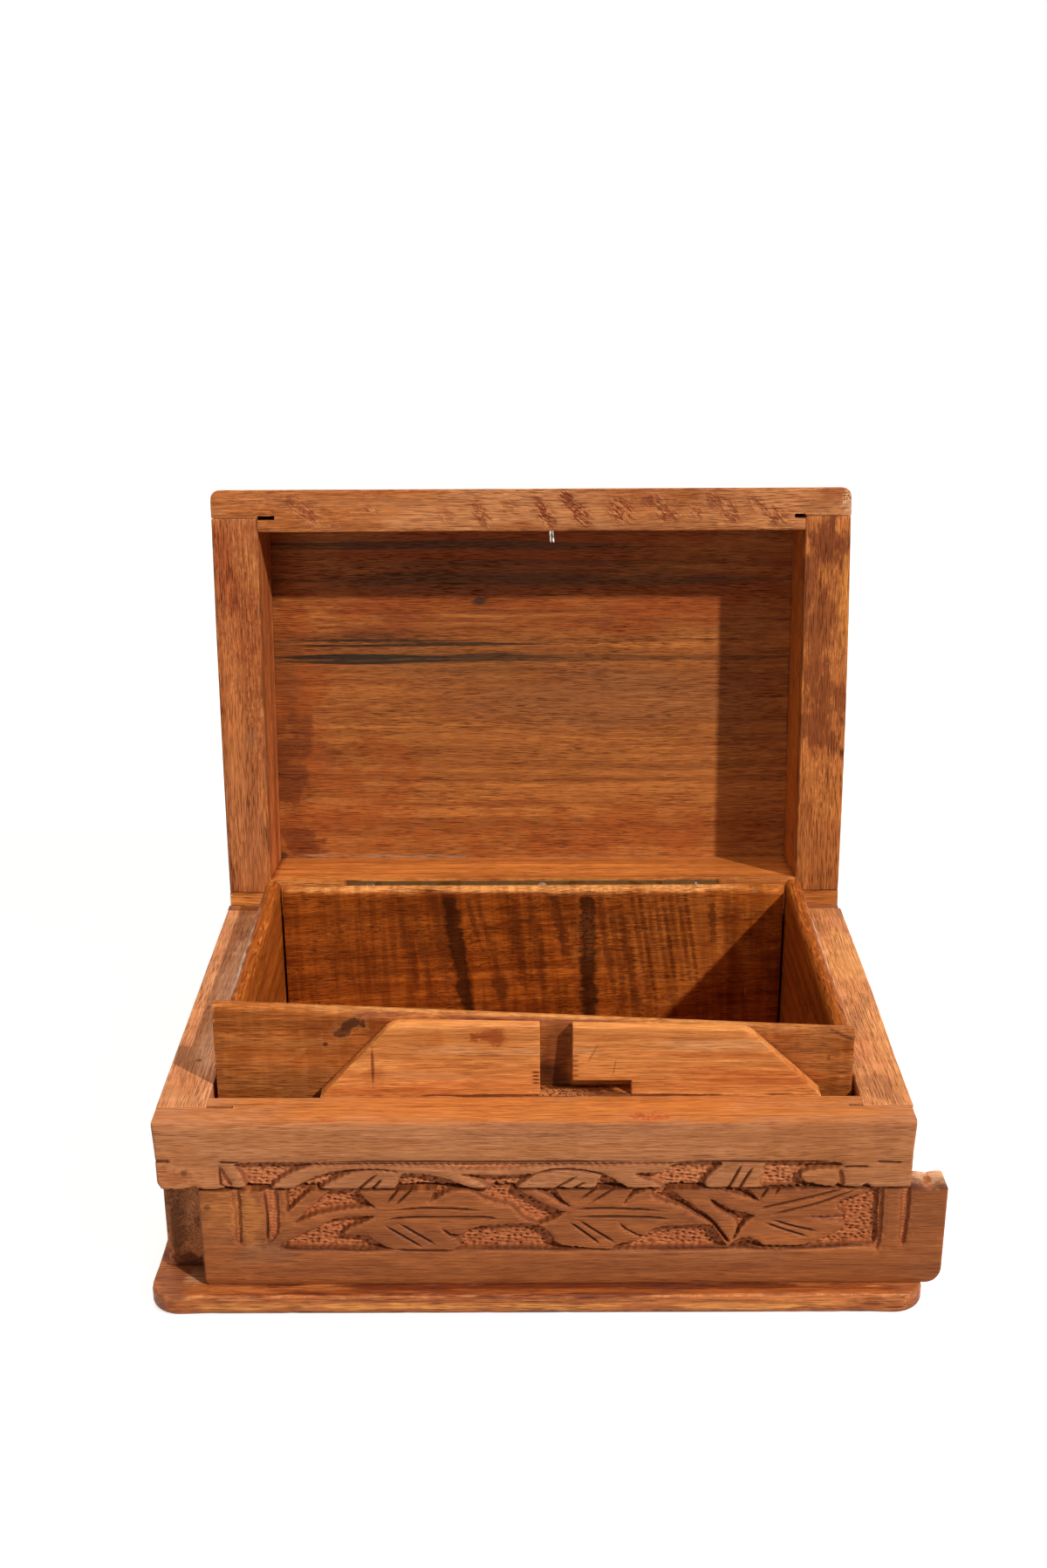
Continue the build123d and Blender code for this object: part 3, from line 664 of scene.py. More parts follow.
def carve(x, z):
    """Depth of the carving, how dark with old dirt and painted shade it is, and how bare each place is."""
    cut = np.zeros((3, len(x)))
    for group, full, filth_and_shade in ((ground, ground_depth, 0.65), (shallow, shallow_depth, 0.4)):
        for points in group.values():
            line = curve_through(points, True)
            close = close_to(line, 2.5, x, z)
            px = x[close]
            pz = z[close]
            far, _ = away_from(line, px, pz)
            far = np.where(within(line, px, pz), far, -far)
            # the knife wanders by 0.1 mm, and the gouge leaves the ground uneven by 0.2 mm
            far = far + 0.1 * np.sin(2.3 * px + 1.1 * pz) + 0.08 * np.sin(3.9 * pz - 2.7 * px)
            floor = ease(far, 0.2, cut_wall)
            depth = full * ease(far, -0.1, cut_wall) + 0.22 * ease(far, -1.6, 0.0)
            depth = depth + 0.2 * floor * np.sin(1.9 * px + 2.3 * pz) * np.sin(2.7 * pz - 1.3 * px)
            # a dark line just inside each outline, down the wall: dirt and painted shade
            soil_and_shade = filth_and_shade * np.exp(-((far - 0.4) / 0.4) ** 2)
            crest = np.maximum(0.25 * np.exp(-((far + 0.35) / 0.4) ** 2), 0.7 * floor)
            if group is ground:
                dots = punch_marks(px, pz) * ease(far, 0.3, 0.9)
                depth = depth + punch_depth * dots
                # the punch marks are painted dark: dirt and painted shade
                soil_and_shade = np.maximum(soil_and_shade, 0.8 * dots)
                crest = crest * (1 - 0.7 * dots)
            cut[:, close] = np.maximum(cut[:, close], (depth, soil_and_shade, crest))
    for points in veins:
        line = curve_through(points, False)
        close = close_to(line, 1.5, x, z)
        far, along = away_from(line, x[close], z[close])
        swell = np.clip(np.minimum(along, 1 - along) * 5, 0.25, 1)
        groove = vein_depth * swell * np.clip(1 - far / (vein_half_width * swell + 0.1), 0, 1)
        # the V-cuts are painted dark: dirt and painted shade
        soil_and_shade = np.minimum(0.92, 1.4 * groove / vein_depth)
        cut[:2, close] = np.maximum(cut[:2, close], (groove, soil_and_shade))
    return cut


def carved_slab(low, high, carved_z, offset, corner_cuts):
    """A board whose front is carved between two heights. offset is how far it has slid."""
    columns = int((high.x - low.x) / carving_step[0])
    foot, top = carved_z
    rows = np.concatenate([
        np.linspace(low.z, foot, int((foot - low.z) / plain_step) + 1)[:-1],
        np.linspace(foot, top, int((top - foot) / carving_step[1]) + 1),
        np.linspace(top, high.z, int((high.z - top) / plain_step) + 1)[1:]])
    bm = bmesh.new()
    bmesh.ops.create_grid(bm, x_segments=columns, y_segments=len(rows) - 1, size=1.0)
    spots = np.array([v.co for v in bm.verts])
    x = low.x + (spots[:, 0] + 1) / 2 * (high.x - low.x)
    z = np.interp((spots[:, 1] + 1) / 2 * (len(rows) - 1), np.arange(len(rows)), rows)
    depth, dirt_and_shade, bare = carve(x - offset, z)
    # the outer edges are rounded over, the ends more than the long edges
    for near, radius in (
            (np.minimum(x - low.x, high.x - x), end_round), (np.minimum(z - low.z, high.z - z), long_round)):
        depth = depth + radius * (1 - np.sqrt(1 - np.clip(1 - near / radius, 0, 1) ** 2))
    # the two boards' meeting edges are chipped, and painted dark along the gap, as shade and dirt
    for edge_z, way in ((low.z, 1), (high.z, -1)):
        if abs(edge_z - seam_z) > 1:
            continue
        chips = np.array([
            max(0.0, noise.noise(Vector((a / 9, edge_z, carving_seed)))
                + noise.noise(Vector((a / 2.3, edge_z, 3))))
            for a in x])
        z = z + way * seam_chip * chips * np.clip(1 - np.abs(z - edge_z) / seam_reach, 0, 1)
        dirt_and_shade = np.maximum(dirt_and_shade, 0.9 * np.clip(1 - np.abs(z - edge_z - 0.1 * way) / 0.75, 0, 1))
    for corner_x, corner_z, radius in corner_cuts:
        sign_x = 1 if corner_x == high.x else -1
        sign_z = 1 if corner_z == high.z else -1
        centre_x = corner_x - sign_x * radius
        centre_z = corner_z - sign_z * radius
        dx = sign_x * (x - centre_x)
        dz = sign_z * (z - centre_z)
        in_corner = (dx > 0) & (dz > 0)
        pull = np.maximum(dx, dz) / (np.hypot(dx, dz) + 1e-9)
        x = np.where(in_corner, centre_x + sign_x * dx * pull, x)
        z = np.where(in_corner, centre_z + sign_z * dz * pull, z)
    cut_layer = bm.verts.layers.float.new("cut")
    rub_layer = bm.verts.layers.float.new("rub")
    for index, v in enumerate(bm.verts):
        v.co = (x[index], low.y + depth[index], z[index])
        v[cut_layer] = dirt_and_shade[index]
        v[rub_layer] = bare[index]
    drawn = bmesh.ops.extrude_edge_only(bm, edges=[e for e in bm.edges if e.is_boundary])["geom"]
    for v in drawn:
        if isinstance(v, bmesh.types.BMVert):
            v.co.y = high.y
            v[cut_layer] = 0
            v[rub_layer] = 0
    bmesh.ops.holes_fill(bm, edges=[e for e in bm.edges if e.is_boundary], sides=0)
    return bm


def add_block(bm, plan, low_z, high_z):
    """Adds a plain block, drawn up from its outline in plan."""
    foot = bm.faces.new([bm.verts.new((x, y, low_z)) for x, y in plan])
    for v in bmesh.ops.extrude_face_region(bm, geom=[foot])["geom"]:
        if isinstance(v, bmesh.types.BMVert):
            v.co.z = high_z


rail_low, rail_high = span("front_rail")
rail_high.x -= 1.3              # its ends stop short of the side boards' faces
rail_low.x += 0.8
seam_z = rail_low.z
side_low, side_high = span("right_side")
lap_back = side_low.y           # where the rail's laps end on the side boards
inner_x = side_low.x
kerf_half = 0.75
kerf_y = lap_back - kerf_half
rail_kerfs = (9.0, 4.7)         # overrun of the saw, left and right
rail = carved_slab(
    rail_low, Vector((rail_high.x, kerf_y, rail_high.z)), rail_carved, 0.0,
    [(rail_low.x, rail_low.z, 3.0)])
# behind the carved face: the laps' last part, and the tongue between the two saw cuts
for x0, x1, y0, y1 in (
        (rail_low.x, -inner_x, kerf_y, lap_back), (inner_x, rail_high.x, kerf_y, lap_back),
        (rail_kerfs[0] - inner_x, inner_x - rail_kerfs[1], kerf_y, lap_back + kerf_half),
        (-inner_x, inner_x, lap_back + kerf_half, rail_high.y)):
    add_block(rail, [(x0, y0), (x1, y0), (x1, y1), (x0, y1)], rail_low.z, rail_high.z)
bmesh.ops.recalc_face_normals(rail, faces=rail.faces)
for v in rail.verts:
    if abs(v.co.x) > outer_face_x:
        lean = rail_lean * max(0.0, (v.co.z - rail_lean_foot) / rail_lean_height)
        v.co.x += math.copysign(lean, v.co.x)
front_rail = set_in_place("carved_front_rail", rail, "case", "front_rail", sharp=50)

front = ("y", -89, 3)
# A filled nail hole, red oil in the left block, a dark line in the top, and worn patches.
rail_marks = [
    ("#c4712e", (50, 200, 60), 0.3, ("y", -79, 15), [(0, 71.8, 170, 0.8, 0.8)]),
    ("#d08858", (60, 200, 60), 0.5, front, [(-119, 52, 12, 8, 0.8), (119, 60, 9, 12, 0.35)]),
    ("#a85028", (200, 160, 200), 0.9, front, [
        (-119, 51.5, 6, 3.4, 0.6), (-124, 53, 2.4, 4, 0.5), (-118, 60, 5, 4, 0.4)]),
    ("#8c5a3a", (24, 200, 90), 0.9, front, [
        (-70, 65, 40, 5, 0.3, 6), (-10, 61, 50, 3, 0.2), (60, 66, 60, 3, 0.25, -3)]),
    ("#9a5c38", (60, 200, 60), 0.6, front, [(98, 60, 34, 14, 0.55)]),
    ("#6a3214", (90, 500, 90), 0.6, ("z", 71.5, 1.2), [
        (60, -84.6, 70, 0.5, 0.55, -0.6), (-40, -78, 60, 0.45, 0.5), (-96, -76.4, 16, 0.6, 0.6, 2),
        (-20, -87, 50, 0.4, 0.4)]),
    ("#b8481a", (400, 400, 200), None, ("z", 71.5, 1.2), [
        (38, -85, 10, 3.4, 0.9), (-70, -86.5, 8, 2, 0.7)]),
    ("#4a2010", (200, 200, 200), 0.3, front, [(-117, 53, 1.7, 1.7, 0.75)]),
]
oiled_walnut(
    front_rail, "#c98252", "#af6e44", "#5e2810", "#d07a48", shift=(0.7, 0.33, 0.1), finer=1.35,
    wear=0.2, pores=0.6, blotch=0.12, relief=0.1, marks=rail_marks)

panel_low, panel_high = span("slide_panel")
slide_offset = 13.4             # mm that the panel stands to the right of where it shuts
panel_back = lap_back - 0.5
panel_low.x -= 1.3              # the real end was left a little long
panel = carved_slab(
    panel_low, Vector((panel_high.x, panel_back, panel_high.z)), panel_carved, slide_offset,
    [(panel_high.x, panel_low.z, 5.5), (panel_high.x, panel_high.z, 0.9),
     (panel_low.x, panel_low.z, 1.5), (panel_low.x, panel_high.z, 1.0)])
x0, x1 = slide_offset - inner_x + 0.3, inner_x - 0.3
add_block(
    panel, [(x0, panel_back), (x1, panel_back), (x1, panel_high.y), (x0, panel_high.y)],
    panel_low.z, panel_high.z)
bmesh.ops.recalc_face_normals(panel, faces=panel.faces)
slide_panel = set_in_place("carved_slide_panel", panel, "slide", "slide_panel", sharp=50)

# Red oil in the left block, a filled nail hole, a dark knot streak, greasy patches with a painted grey sheen,
# and rubbed ends.
slide_marks = [
    ("#7e4422", (20, 100, 90), 0.4, front, [(-80, 11, 60, 10, 0.45), (60, 12, 110, 11, 0.5)]),
    ("#d68444", (60, 100, 60), 0.5, front, [
        (-97.5, 34, 8, 18, 0.75), (-106, 34, 8, 16, 0.7), (122, 34, 6, 14, 0.3)]),
    ("#8f4c2a", (120, 100, 160), 0.8, front, [
        (-107, 30, 5, 5, 0.5), (128, 30, 14, 20, 0.35), (-100, 43, 3, 3, 0.4)]),
    ("#8a4a2a", (40, 100, 200), 0.9, front, [(-60, 14, 60, 5, 0.5), (70, 12, 50, 4, 0.4)]),
    # greasy patches with a painted grey sheen
    ("#8f6a50", (50, 100, 90), 0.6, front, [(-92, 21, 16, 5, 0.45), (50, 20, 40, 3, 0.35)]),
    ("#4a2010", (200, 200, 200), 0.3, front, [(-110.1, 39.5, 1.6, 1.6, 0.8)]),
    ("#ecb488", (150, 200, 200), 0.6, ("y", -82, 10), [(134, 46.4, 10, 1.6, 1)]),
    ("#8a4c26", (350, 350, 350), 0.9, ("y", -86, 4), [(131, 46, 6, 1.6, 0.6)]),
]
oiled_walnut(
    slide_panel, "#ba6a36", "#99562e", "#50230b", "#ca7242", shift=(0.2, 0.63, 0.4), finer=1.35,
    wear=0.12, blotch=0.12, pores=0.6, relief=0.1, marks=slide_marks)


# ------------------------ lock board
# A thin board glued behind the sliding panel. It stands above the rim with sloping ends, and
# an L-shaped way is sawn in it for the lid's staple. Pale walnut, handled smooth.

def sharp_edges(bm, angle):
    """The edges whose faces turn by more than an angle in radians."""
    return [e for e in bm.edges if e.calc_face_angle(0) > angle]


lock = node_copy("lock_board")
ease_edges(lock, sharp_edges(lock, 0.6), 0.45, 3, clamp=True)
slice_up(lock, (3.0, 0, 3.0))
wear_down(lock, 8, sag=0.12, chip=0.9)
lock_board = set_in_place("walnut_lock_board", lock, "slide", "lock_board")

# A scribed line by the left slope, a red knot, saw nicks, the slot's torn floor, painted shade inside the
# slot, and a painted highlight along the top edge.
nicks = [(0.6, 76.4 + 1.3 * step, 1.8, 0.5, 0.9, 0, -71, 3) for step in range(4)]
nicks += [(13.8, 79 + 1.8 * step, 1.5, 0.45, 0.7, 0, -71, 3) for step in range(5)]
lock_marks = [
    ("#b4541f", (40, 60, 200), 0.7, ("y", -70, 4), [
        (62, 80.5, 30, 1.8, 0.6, 2), (70, 77, 30, 1.2, 0.5, 1), (-30, 76, 36, 1.6, 0.4),
        (-40, 73.4, 44, 1.8, 0.5), (62, 86.5, 34, 1, 0.5, 1), (-24, 82.5, 34, 0.9, 0.45)]),
    ("#f6c286", (30, 60, 260), 0.6, ("y", -70, 4), [
        (-10, 88, 40, 2, 0.5), (55, 90, 26, 2.4, 0.5), (-36, 79.2, 24, 1.2, 0.45)]),
    ("#8c3c16", (140, 90, 200), 0.6, ("y", -70, 5), [
        (-15, 92.7, 6.5, 3.2, 0.85, 4), (-33, 92, 3, 4, 0.35), (-54, 78, 4, 5, 0.35, 0, -70, 4)]),
    ("#4a1e0b", (120, 120, 120), 0.2, ("y", -71, 4), [
        (-54.4, 82.5, 0.75, 9, 0.8), (20, 87.5, 4.5, 0.6, 0.5, -62, -70, 4),
        (27, 82, 3.5, 0.45, 0.45, -80, -70, 4)] + nicks),
    # painted shade inside the slot
    ("#5e2a10", (200, 400, 300), 0.5, ("y", -68, 6), [(14, 72, 20, 1.8, 1)]),
    ("#5a240c", (60, 400, 400), 0.6, ("y", -71, 3), [(12, 71.9, 96, 0.6, 0.9)]),
    ("#c47a48", (500, 500, 500), None, ("y", -70, 3), [(8, 71.9, 14, 1.2, 0.9)]),
    # painted highlight along the top edge
    ("#fbd09a", (30, 60, 100), 0.4, ("y", -71.6, 3), [(12, 97.3, 84, 0.9, 0.7)]),
]
oiled_walnut(
    lock_board, "#e99651", "#c37337", "#b15a22", "#f6c589", shift=(0.9, 0.2, 0.6),
    finer=1.4, wear=0.45, blotch=0.25, pores=0.5, fleck=0.2, shine=0.12, marks=lock_marks)


# ------------------------ linings
# Four thin boards that stand on the base inside the case and rise above its rim, so that the
# closed lid fits round them. Their tops are rounded over, rubbed bright and given painted highlights.

lining_top_round = 2.9
back_lining_drop = 1.3          # mm that the back lining is planed lower than the side ones
back_drop_z = (70, 80)          # mm up, between which its mesh comes down by that much
front_lining_slope = 10.9       # mm that the front lining's top runs down to its right end
front_slope_z = (80, 90)


def lining_board(low, high, along):
    """A lining board that runs along an axis, with a full round top."""
    bm = plain_board(low, high)
    tops = [
        e for e in bm.edges
        if all(abs(v.co.z - high.z) < 0.01 for v in e.verts)
        and abs(e.verts[0].co[along] - e.verts[1].co[along]) > 1]
    ease_edges(bm, tops, min(lining_top_round, (high[1 - along] - low[1 - along]) / 2 - 0.2), 5)
    ease_edges(bm, sharp_edges(bm, 1.0), 0.6, 2, clamp=True)
    steps = [0, 0, 4.0]
    steps[along] = 3.0
    slice_up(bm, steps)
    return bm


back_face = ("y", 65, 6)
front_face = ("y", -65, 3)
# Ripples that lean a little, two dark bands, and a rubbed orange top with a painted highlight along its
# round.
back_lining_marks = [
    ("#a8561c", (60, 100, 200), 0.9, back_face, [(-70, 62, 34, 34, 0.4), (56, 44, 26, 12, 0.4)]),
    ("#d07a34", (60, 100, 200), 0.8, back_face, [(58, 62, 46, 34, 0.6)]),
    ("#54200a", (160, 60, 500), 0.6, back_face, [
        (-80, 70, 5, 26, 0.425, -5), (-67, 60, 3.5, 38, 0.3825, -6), (-52, 66, 3, 36, 0.6375, -8),
        (-45.5, 60, 2.4, 40, 0.595, -8), (-38, 66, 5, 36, 0.68, -8), (-24.5, 72, 1.8, 20, 0.765, -14),
        (-20, 70, 1.5, 20, 0.595, -14), (-7, 68, 3.6, 32, 0.7225, -8), (1.5, 62, 3.6, 38, 0.7225, -7),
        (10.5, 72, 3.2, 24, 0.85, -12), (30, 62, 2, 36, 0.7225, -9), (34.5, 60, 1.8, 38, 0.6375, -9),
        (39, 56, 2.6, 40, 0.7225, -10), (73.5, 72, 1.8, 14, 0.765, -4), (81, 66, 4, 24, 0.51, -8)]),
    ("#5a240c", (60, 60, 700), 0.8, back_face, [
        (43 + 3.1 * step, 66, 1.15, 30, 0.68 + 0.15 * math.sin(step * 2.1), -9) for step in range(8)]),
    ("#2a0d03", (200, 100, 300), 0.25, back_face, [
        (-31, 58, 4.6, 80, 0.9, -7.5), (22.6, 58, 5, 80, 0.92, -1.5), (-13.5, 42, 4.6, 9, 0.75, -9),
        (-14.5, 46, 2.2, 30, 0.5, -7)]),
    ("#9a5a30", (700, 200, 500), None, back_face, [(22, 66, 4, 16, 0.35), (-70, 60, 30, 22, 0.25)]),
    ("#c8884c", (60, 100, 400), 0.25, back_face, [
        (52, 66.5, 14, 0.35, 0.6, 7), (90, 85, 1.4, 2.2, 0.8, 20, 65, 4), (88, 40, 0.8, 3, 0.7, 0, 65, 4)]),
    # rubbed orange top, with a painted highlight along its round
    ("#ea9c58", (40, 200, 200), 0.35, ("y", 68, 8), [(0, 86.8, 150, 3.6, 1)]),
    ("#8a3a14", (70, 200, 300), 0.8, ("y", 65, 3), [(10, 83.4, 110, 1.2, 0.6)]),
]
# Two dark blots, a dot and a reddish run under the top edge, which is rubbed orange with a painted highlight
# along it, and painted shade and dirt behind the lock board's upright slot, darkest at the bottom.
front_lining_marks = [
    ("#e09450", (50, 300, 300), 0.5, ("y", -62, 5), [(0, 98.5, 130, 3, 0.7, 2.9)]),
    ("#8f4a30", (60, 140, 300), 0.5, ("y", -64.6, 1.8), [(10, 96, 96, 1.9, 0.95, 2.9)]),
    # painted highlight along the top edge
    ("#f4b070", (40, 300, 300), 0.3, ("y", -62.6, 1), [(0, 98.4, 140, 1.6, 0.6, 2.9)]),
    # painted shade and dirt behind the lock board's upright slot, darker towards the bottom
    ("#8a4a22", (60, 60, 60), 0.2, front_face, [(7.5, 85, 9, 18, 1)]),
    ("#4a220c", (60, 60, 60), 0.3, front_face, [(7.5, 73, 9, 10, 0.9)]),
    ("#d08a50", (300, 200, 300), 0.9, front_face, [(-78, 86, 9, 1.6, 0.4, -40)]),
    ("#8f4a20", (60, 140, 160), 0.8, front_face, [
        (-85, 88, 26, 3, 0.45, 2), (-96, 80, 18, 5, 0.4), (90, 84, 26, 12, 0.7)]),
    ("#7c3812", (60, 140, 160), 0.6, front_face, [(-82, 74.5, 34, 6, 0.65, 4)]),
    ("#4a1c0a", (220, 140, 220), 0.45, front_face, [
        (-61.8, 95.4, 6.4, 3, 0.95, 6), (-65, 92, 4.6, 2.4, 0.9), (-70.7, 87.8, 0.9, 0.9, 0.9),
        (-106.5, 90.3, 2.6, 0.8, 0.6), (98, 92, 5, 0.9, 0.6), (100, 82, 0.8, 1.6, 0.7),
        (104, 90.5, 5.5, 0.7, 0.8, 24, -64.5, 3)]),
]
# A side lining's round top, rubbed orange, with a pale ridge along its outer edge that is partly worn and
# partly a painted highlight.
rubbed_and_highlit_side_marks = [
    ("#cc7430", (200, 40, 200), 0.6, ("z", 88, 3.2), [
        (-106.3, 7, 4.5, 90, 0.75), (106.3, 7, 4.5, 90, 0.75)]),
    ("#84360e", (500, 160, 500), 1.2, ("z", 88, 3.2), [
        (-106.3, 7, 4.5, 90, 0.7), (106.3, 7, 4.5, 90, 0.7)]),
    # pale ridge: wear and a painted highlight
    ("#f2d2bc", (300, 60, 300), 0.4, ("z", 87.2, 2.2), [
        (-109.3, -8, 1.5, 60, 0.95), (109.8, -8, 1.5, 60, 0.95)]),
]

side_look = {
    "light": "#b46123", "dark": "#8c4511", "stain": "#7c3308", "worn": "#d0863d", "turn": (0, 0, -90),
    "wear": 0.3, "blotch": 0.4, "fleck": 0.3, "shine": 0.06, "marks": rubbed_and_highlit_side_marks}
back_look = {
    "light": "#ca6b21", "dark": "#94450f", "stain": "#5c2006", "worn": "#dd853e", "turn": (0, 3, 0),
    "finer": 1.8, "wear": 0.2, "blotch": 0.5, "fleck": 0.7, "curl": 0.32, "pores": 1.2, "shine": 0.06,
    "marks": back_lining_marks}
front_look = {
    "light": "#c67133", "dark": "#9c541e", "stain": "#8a3d11", "worn": "#e29f61", "finer": 1.4,
    "wear": 0.4, "blotch": 0.5, "fleck": 0.3, "curl": 0.16, "shine": 0.1, "marks": front_lining_marks}
for name, along, seed, shift, look in (
        ("lining_left", 1, 10, (1.0, 0.5, 0.3), side_look),
        ("lining_right", 1, 11, (1.1, 0.55, 0.3), side_look),
        ("lining_back", 0, 12, (0.3, 0.9, 0.2), back_look),
        ("lining_front", 0, 13, (0.55, 0.15, 0.35), front_look)):
    low, high = span(name)
    board = lining_board(low, high, along)
    for v in board.verts:
        if name == "lining_back":
            v.co.z -= back_lining_drop * share(v.co.z, *back_drop_z)
        if name == "lining_front":
            slope = front_lining_slope * share(v.co.x, low.x, high.x)
            v.co.z -= slope * share(v.co.z, *front_slope_z)
    wear_down(board, seed, sag=0.15, chip=0.8)
    board = set_in_place("walnut_" + name, board, "case", name)
    oiled_walnut(board, shift=shift, **look)


# ------------------------ lid frame
# Four boards like the case's, with a top board glued over them. They are worked out with the
# lid shut and then swung open about the hinge's pin.

pin = Vector((0, 83.85, 69.8))
lid_opening = 98.5              # degrees
lid_corner = 3.6                # radius of its front corners
lid_length = (80, -89)          # mm, from its back to its front
lid_front_wall = (-72.25, -89.25)       # mm, from the front rail's inner face to its outer one
lid_slope = 2.9                 # mm that its front face leans in towards the top
lid_height = 45
lid_kerfs = (6.7, 4.4)          # overrun of the saw, left and right
lid_lap = -77.95                # where the front rail's laps end
shut = Matrix.Translation(pin) @ Matrix.Rotation(math.radians(lid_opening), 4, "X") @ Matrix.Translation(-pin)


def shut_span(name):
    """The corners of a CAD node of the lid, with the lid shut, in millimetres."""
    corners = list(zip(*[shut @ (v.co * 1000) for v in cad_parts[name].data.vertices]))
    return Vector([min(values) for values in corners]), Vector([max(values) for values in corners])


def shut_places(tree, places):
    """The open lid's places, as they are when it is shut."""
    return node(tree, "Mapping", (
        places, shut.to_translation() / 1000, (math.radians(lid_opening), 0, 0))).outputs[0]


def lid_piece(name, bm):
    """Draws a shut board to the lid's own uneven outline, swings it open and sets it in place."""
    for v in bm.verts:
        ahead = share(v.co.y, *lid_length)
        outer = share(abs(v.co.x), inner_x, side_high.x)
        # its left side runs out by 1.6 mm at the front, its right one bows by 0.8 mm
        if v.co.x < 0:
            v.co.x -= outer * (0.1 + 1.5 * (1 - (1 - ahead) ** 2.2))
        else:
            v.co.x += outer * (1.0 + 0.8 * math.sin(math.pi * ahead))
        v.co.y += share(v.co.y, *lid_front_wall) * lid_slope * (v.co.z - rail_high.z) / lid_height
    bm.transform(shut.inverted())
    return set_in_place("walnut_" + name, bm, "lid", name)


def lid_walnut(piece, *colours, along_y=False, **others):
    """Oiled walnut whose grain runs along X or Y of the shut lid."""
    turn = (lid_opening, 0, -90) if along_y else (lid_opening, 0, 0)
    oiled_walnut(piece, *colours, turn=turn, marks_in=shut_places, **others)


shut_rim = ("z", 71.7, 9)
# Flecked and coarse near the front, where the grain rises, and smooth near the hinge.
left_rail_marks = [
    ("#b06c40", (30, 20, 30), 0.5, shut_rim, [(-120, 45, 14, 44, 0.5)]),
    ("#dc8a44", (60, 24, 60), 0.6, shut_rim, [(-114, -30, 5, 50, 0.6), (-122, -10, 5, 40, 0.35)]),
    ("#a4440f", (60, 30, 60), 0.8, shut_rim, [(-123, -58, 8, 22, 0.75), (-116, -30, 8, 26, 0.5)]),
    ("#7a3010", (520, 200, 300), None, shut_rim, [(-119, -40, 16, 56, 0.6), (-114, -10, 6, 60, 0.7)]),
    ("#8a6248", (150, 90, 150), 0.3, shut_rim, [(-115.5, 12, 3, 6, 0.5)]),
    ("#7c3c1c", (120, 60, 120), 0.9, shut_rim, [(-126, 76, 4, 12, 0.6), (-119, 84, 10, 4, 0.5)]),
    ("#3a1a0c", (500, 60, 500), 0.8, shut_rim, [(-110.4, 0, 0.6, 80, 0.7)]),
]
# Dark cloudy patches along the middle, orange towards the edge, pale scuffs, and painted light on the inner
# face, which lies in shade.
right_rail_marks = [
    ("#d5853c", (50, 30, 50), 0.6, shut_rim, [
        (126, -42, 4, 32, 0.8), (119, -54, 4, 10, 0.5, -20), (118, 34, 12, 16, 0.5), (113, 0, 4, 14, 0.4)]),
    ("#6a280c", (160, 60, 160), 0.65, shut_rim, [
        (119, -68, 15, 14, 0.9), (112, -52, 8, 22, 0.85), (116, -32, 11, 26, 0.8, 8),
        (120.5, -11, 9, 21, 0.85, -26), (117.5, 11, 9, 18, 0.85, -36), (111, 50, 8, 36, 0.6),
        (118, 66, 18, 24, 0.55)]),
    ("#7a3812", (380, 200, 300), None, shut_rim, [(118, -10, 12, 70, 0.5)]),
    # painted light on the rail's inner face, which lies in shade
    ("#e07c20", (60, 60, 60), 0.3, ("z", 92, 32), [(110, 0, 1.6, 110, 0.7)]),
    ("#3a1a0c", (500, 60, 500), 0.8, shut_rim, [(110.4, 0, 0.6, 80, 0.7)]),
]

for name, seed, marks in (
        ("lid_left_rail", 21, left_rail_marks), ("lid_right_rail", 22, right_rail_marks)):
    board = sawn_board(*shut_span(name), 0.6)
    wear_down(board, seed, sag=0.1, chip=0.8)
    lid_walnut(
        lid_piece(name, board), "#d57c40", "#a55827", "#90431e", "#e4a369", along_y=True,
        shift=(0.13 * seed, 0.07 * seed, 0.1), finer=1.25, wear=0.25, blotch=0.5, fleck=0.4,
        pores=1.1, marks=marks)

low, high = shut_span("lid_front_rail")
board = bmesh.new()
add_block(board, [
    (low.x, low.y), (high.x, low.y), (high.x, lid_lap), (inner_x, lid_lap),
    (inner_x, lid_lap - kerf_half), (inner_x - lid_kerfs[1], lid_lap - kerf_half),
    (inner_x - lid_kerfs[1], lid_lap + kerf_half), (inner_x, lid_lap + kerf_half),
    (inner_x, high.y), (-inner_x, high.y), (-inner_x, lid_lap + kerf_half),
    (lid_kerfs[0] - inner_x, lid_lap + kerf_half), (lid_kerfs[0] - inner_x, lid_lap - kerf_half),
    (-inner_x, lid_lap - kerf_half), (-inner_x, lid_lap), (low.x, lid_lap)], low.z, high.z)
bmesh.ops.recalc_face_normals(board, faces=board.faces)


def front_uprights(bm, front_y):
    """The upright edges at a board's front corners."""
    return [
        e for e in bm.edges
        if all(abs(v.co.y - front_y) < 0.01 for v in e.verts)
        and abs(e.verts[0].co.z - e.verts[1].co.z) > 1]


ease_edges(board, front_uprights(board, low.y), lid_corner, 6)
ease_edges(board, [
    e for e in sharp_edges(board, 1.0)
    if all(abs(v.co.z - low.z) < 0.01 for v in e.verts)
    and (all(v.co.y < lid_lap - 2 for v in e.verts) or all(v.co.y > lid_lap + 2 for v in e.verts))],
    0.5, 2, clamp=True)
slice_up(board, (3.0, 3.0, 4.0))
wear_down(board, 23, sag=0.08, chip=0.9)
lid_front = lid_piece("lid_front_rail", board)

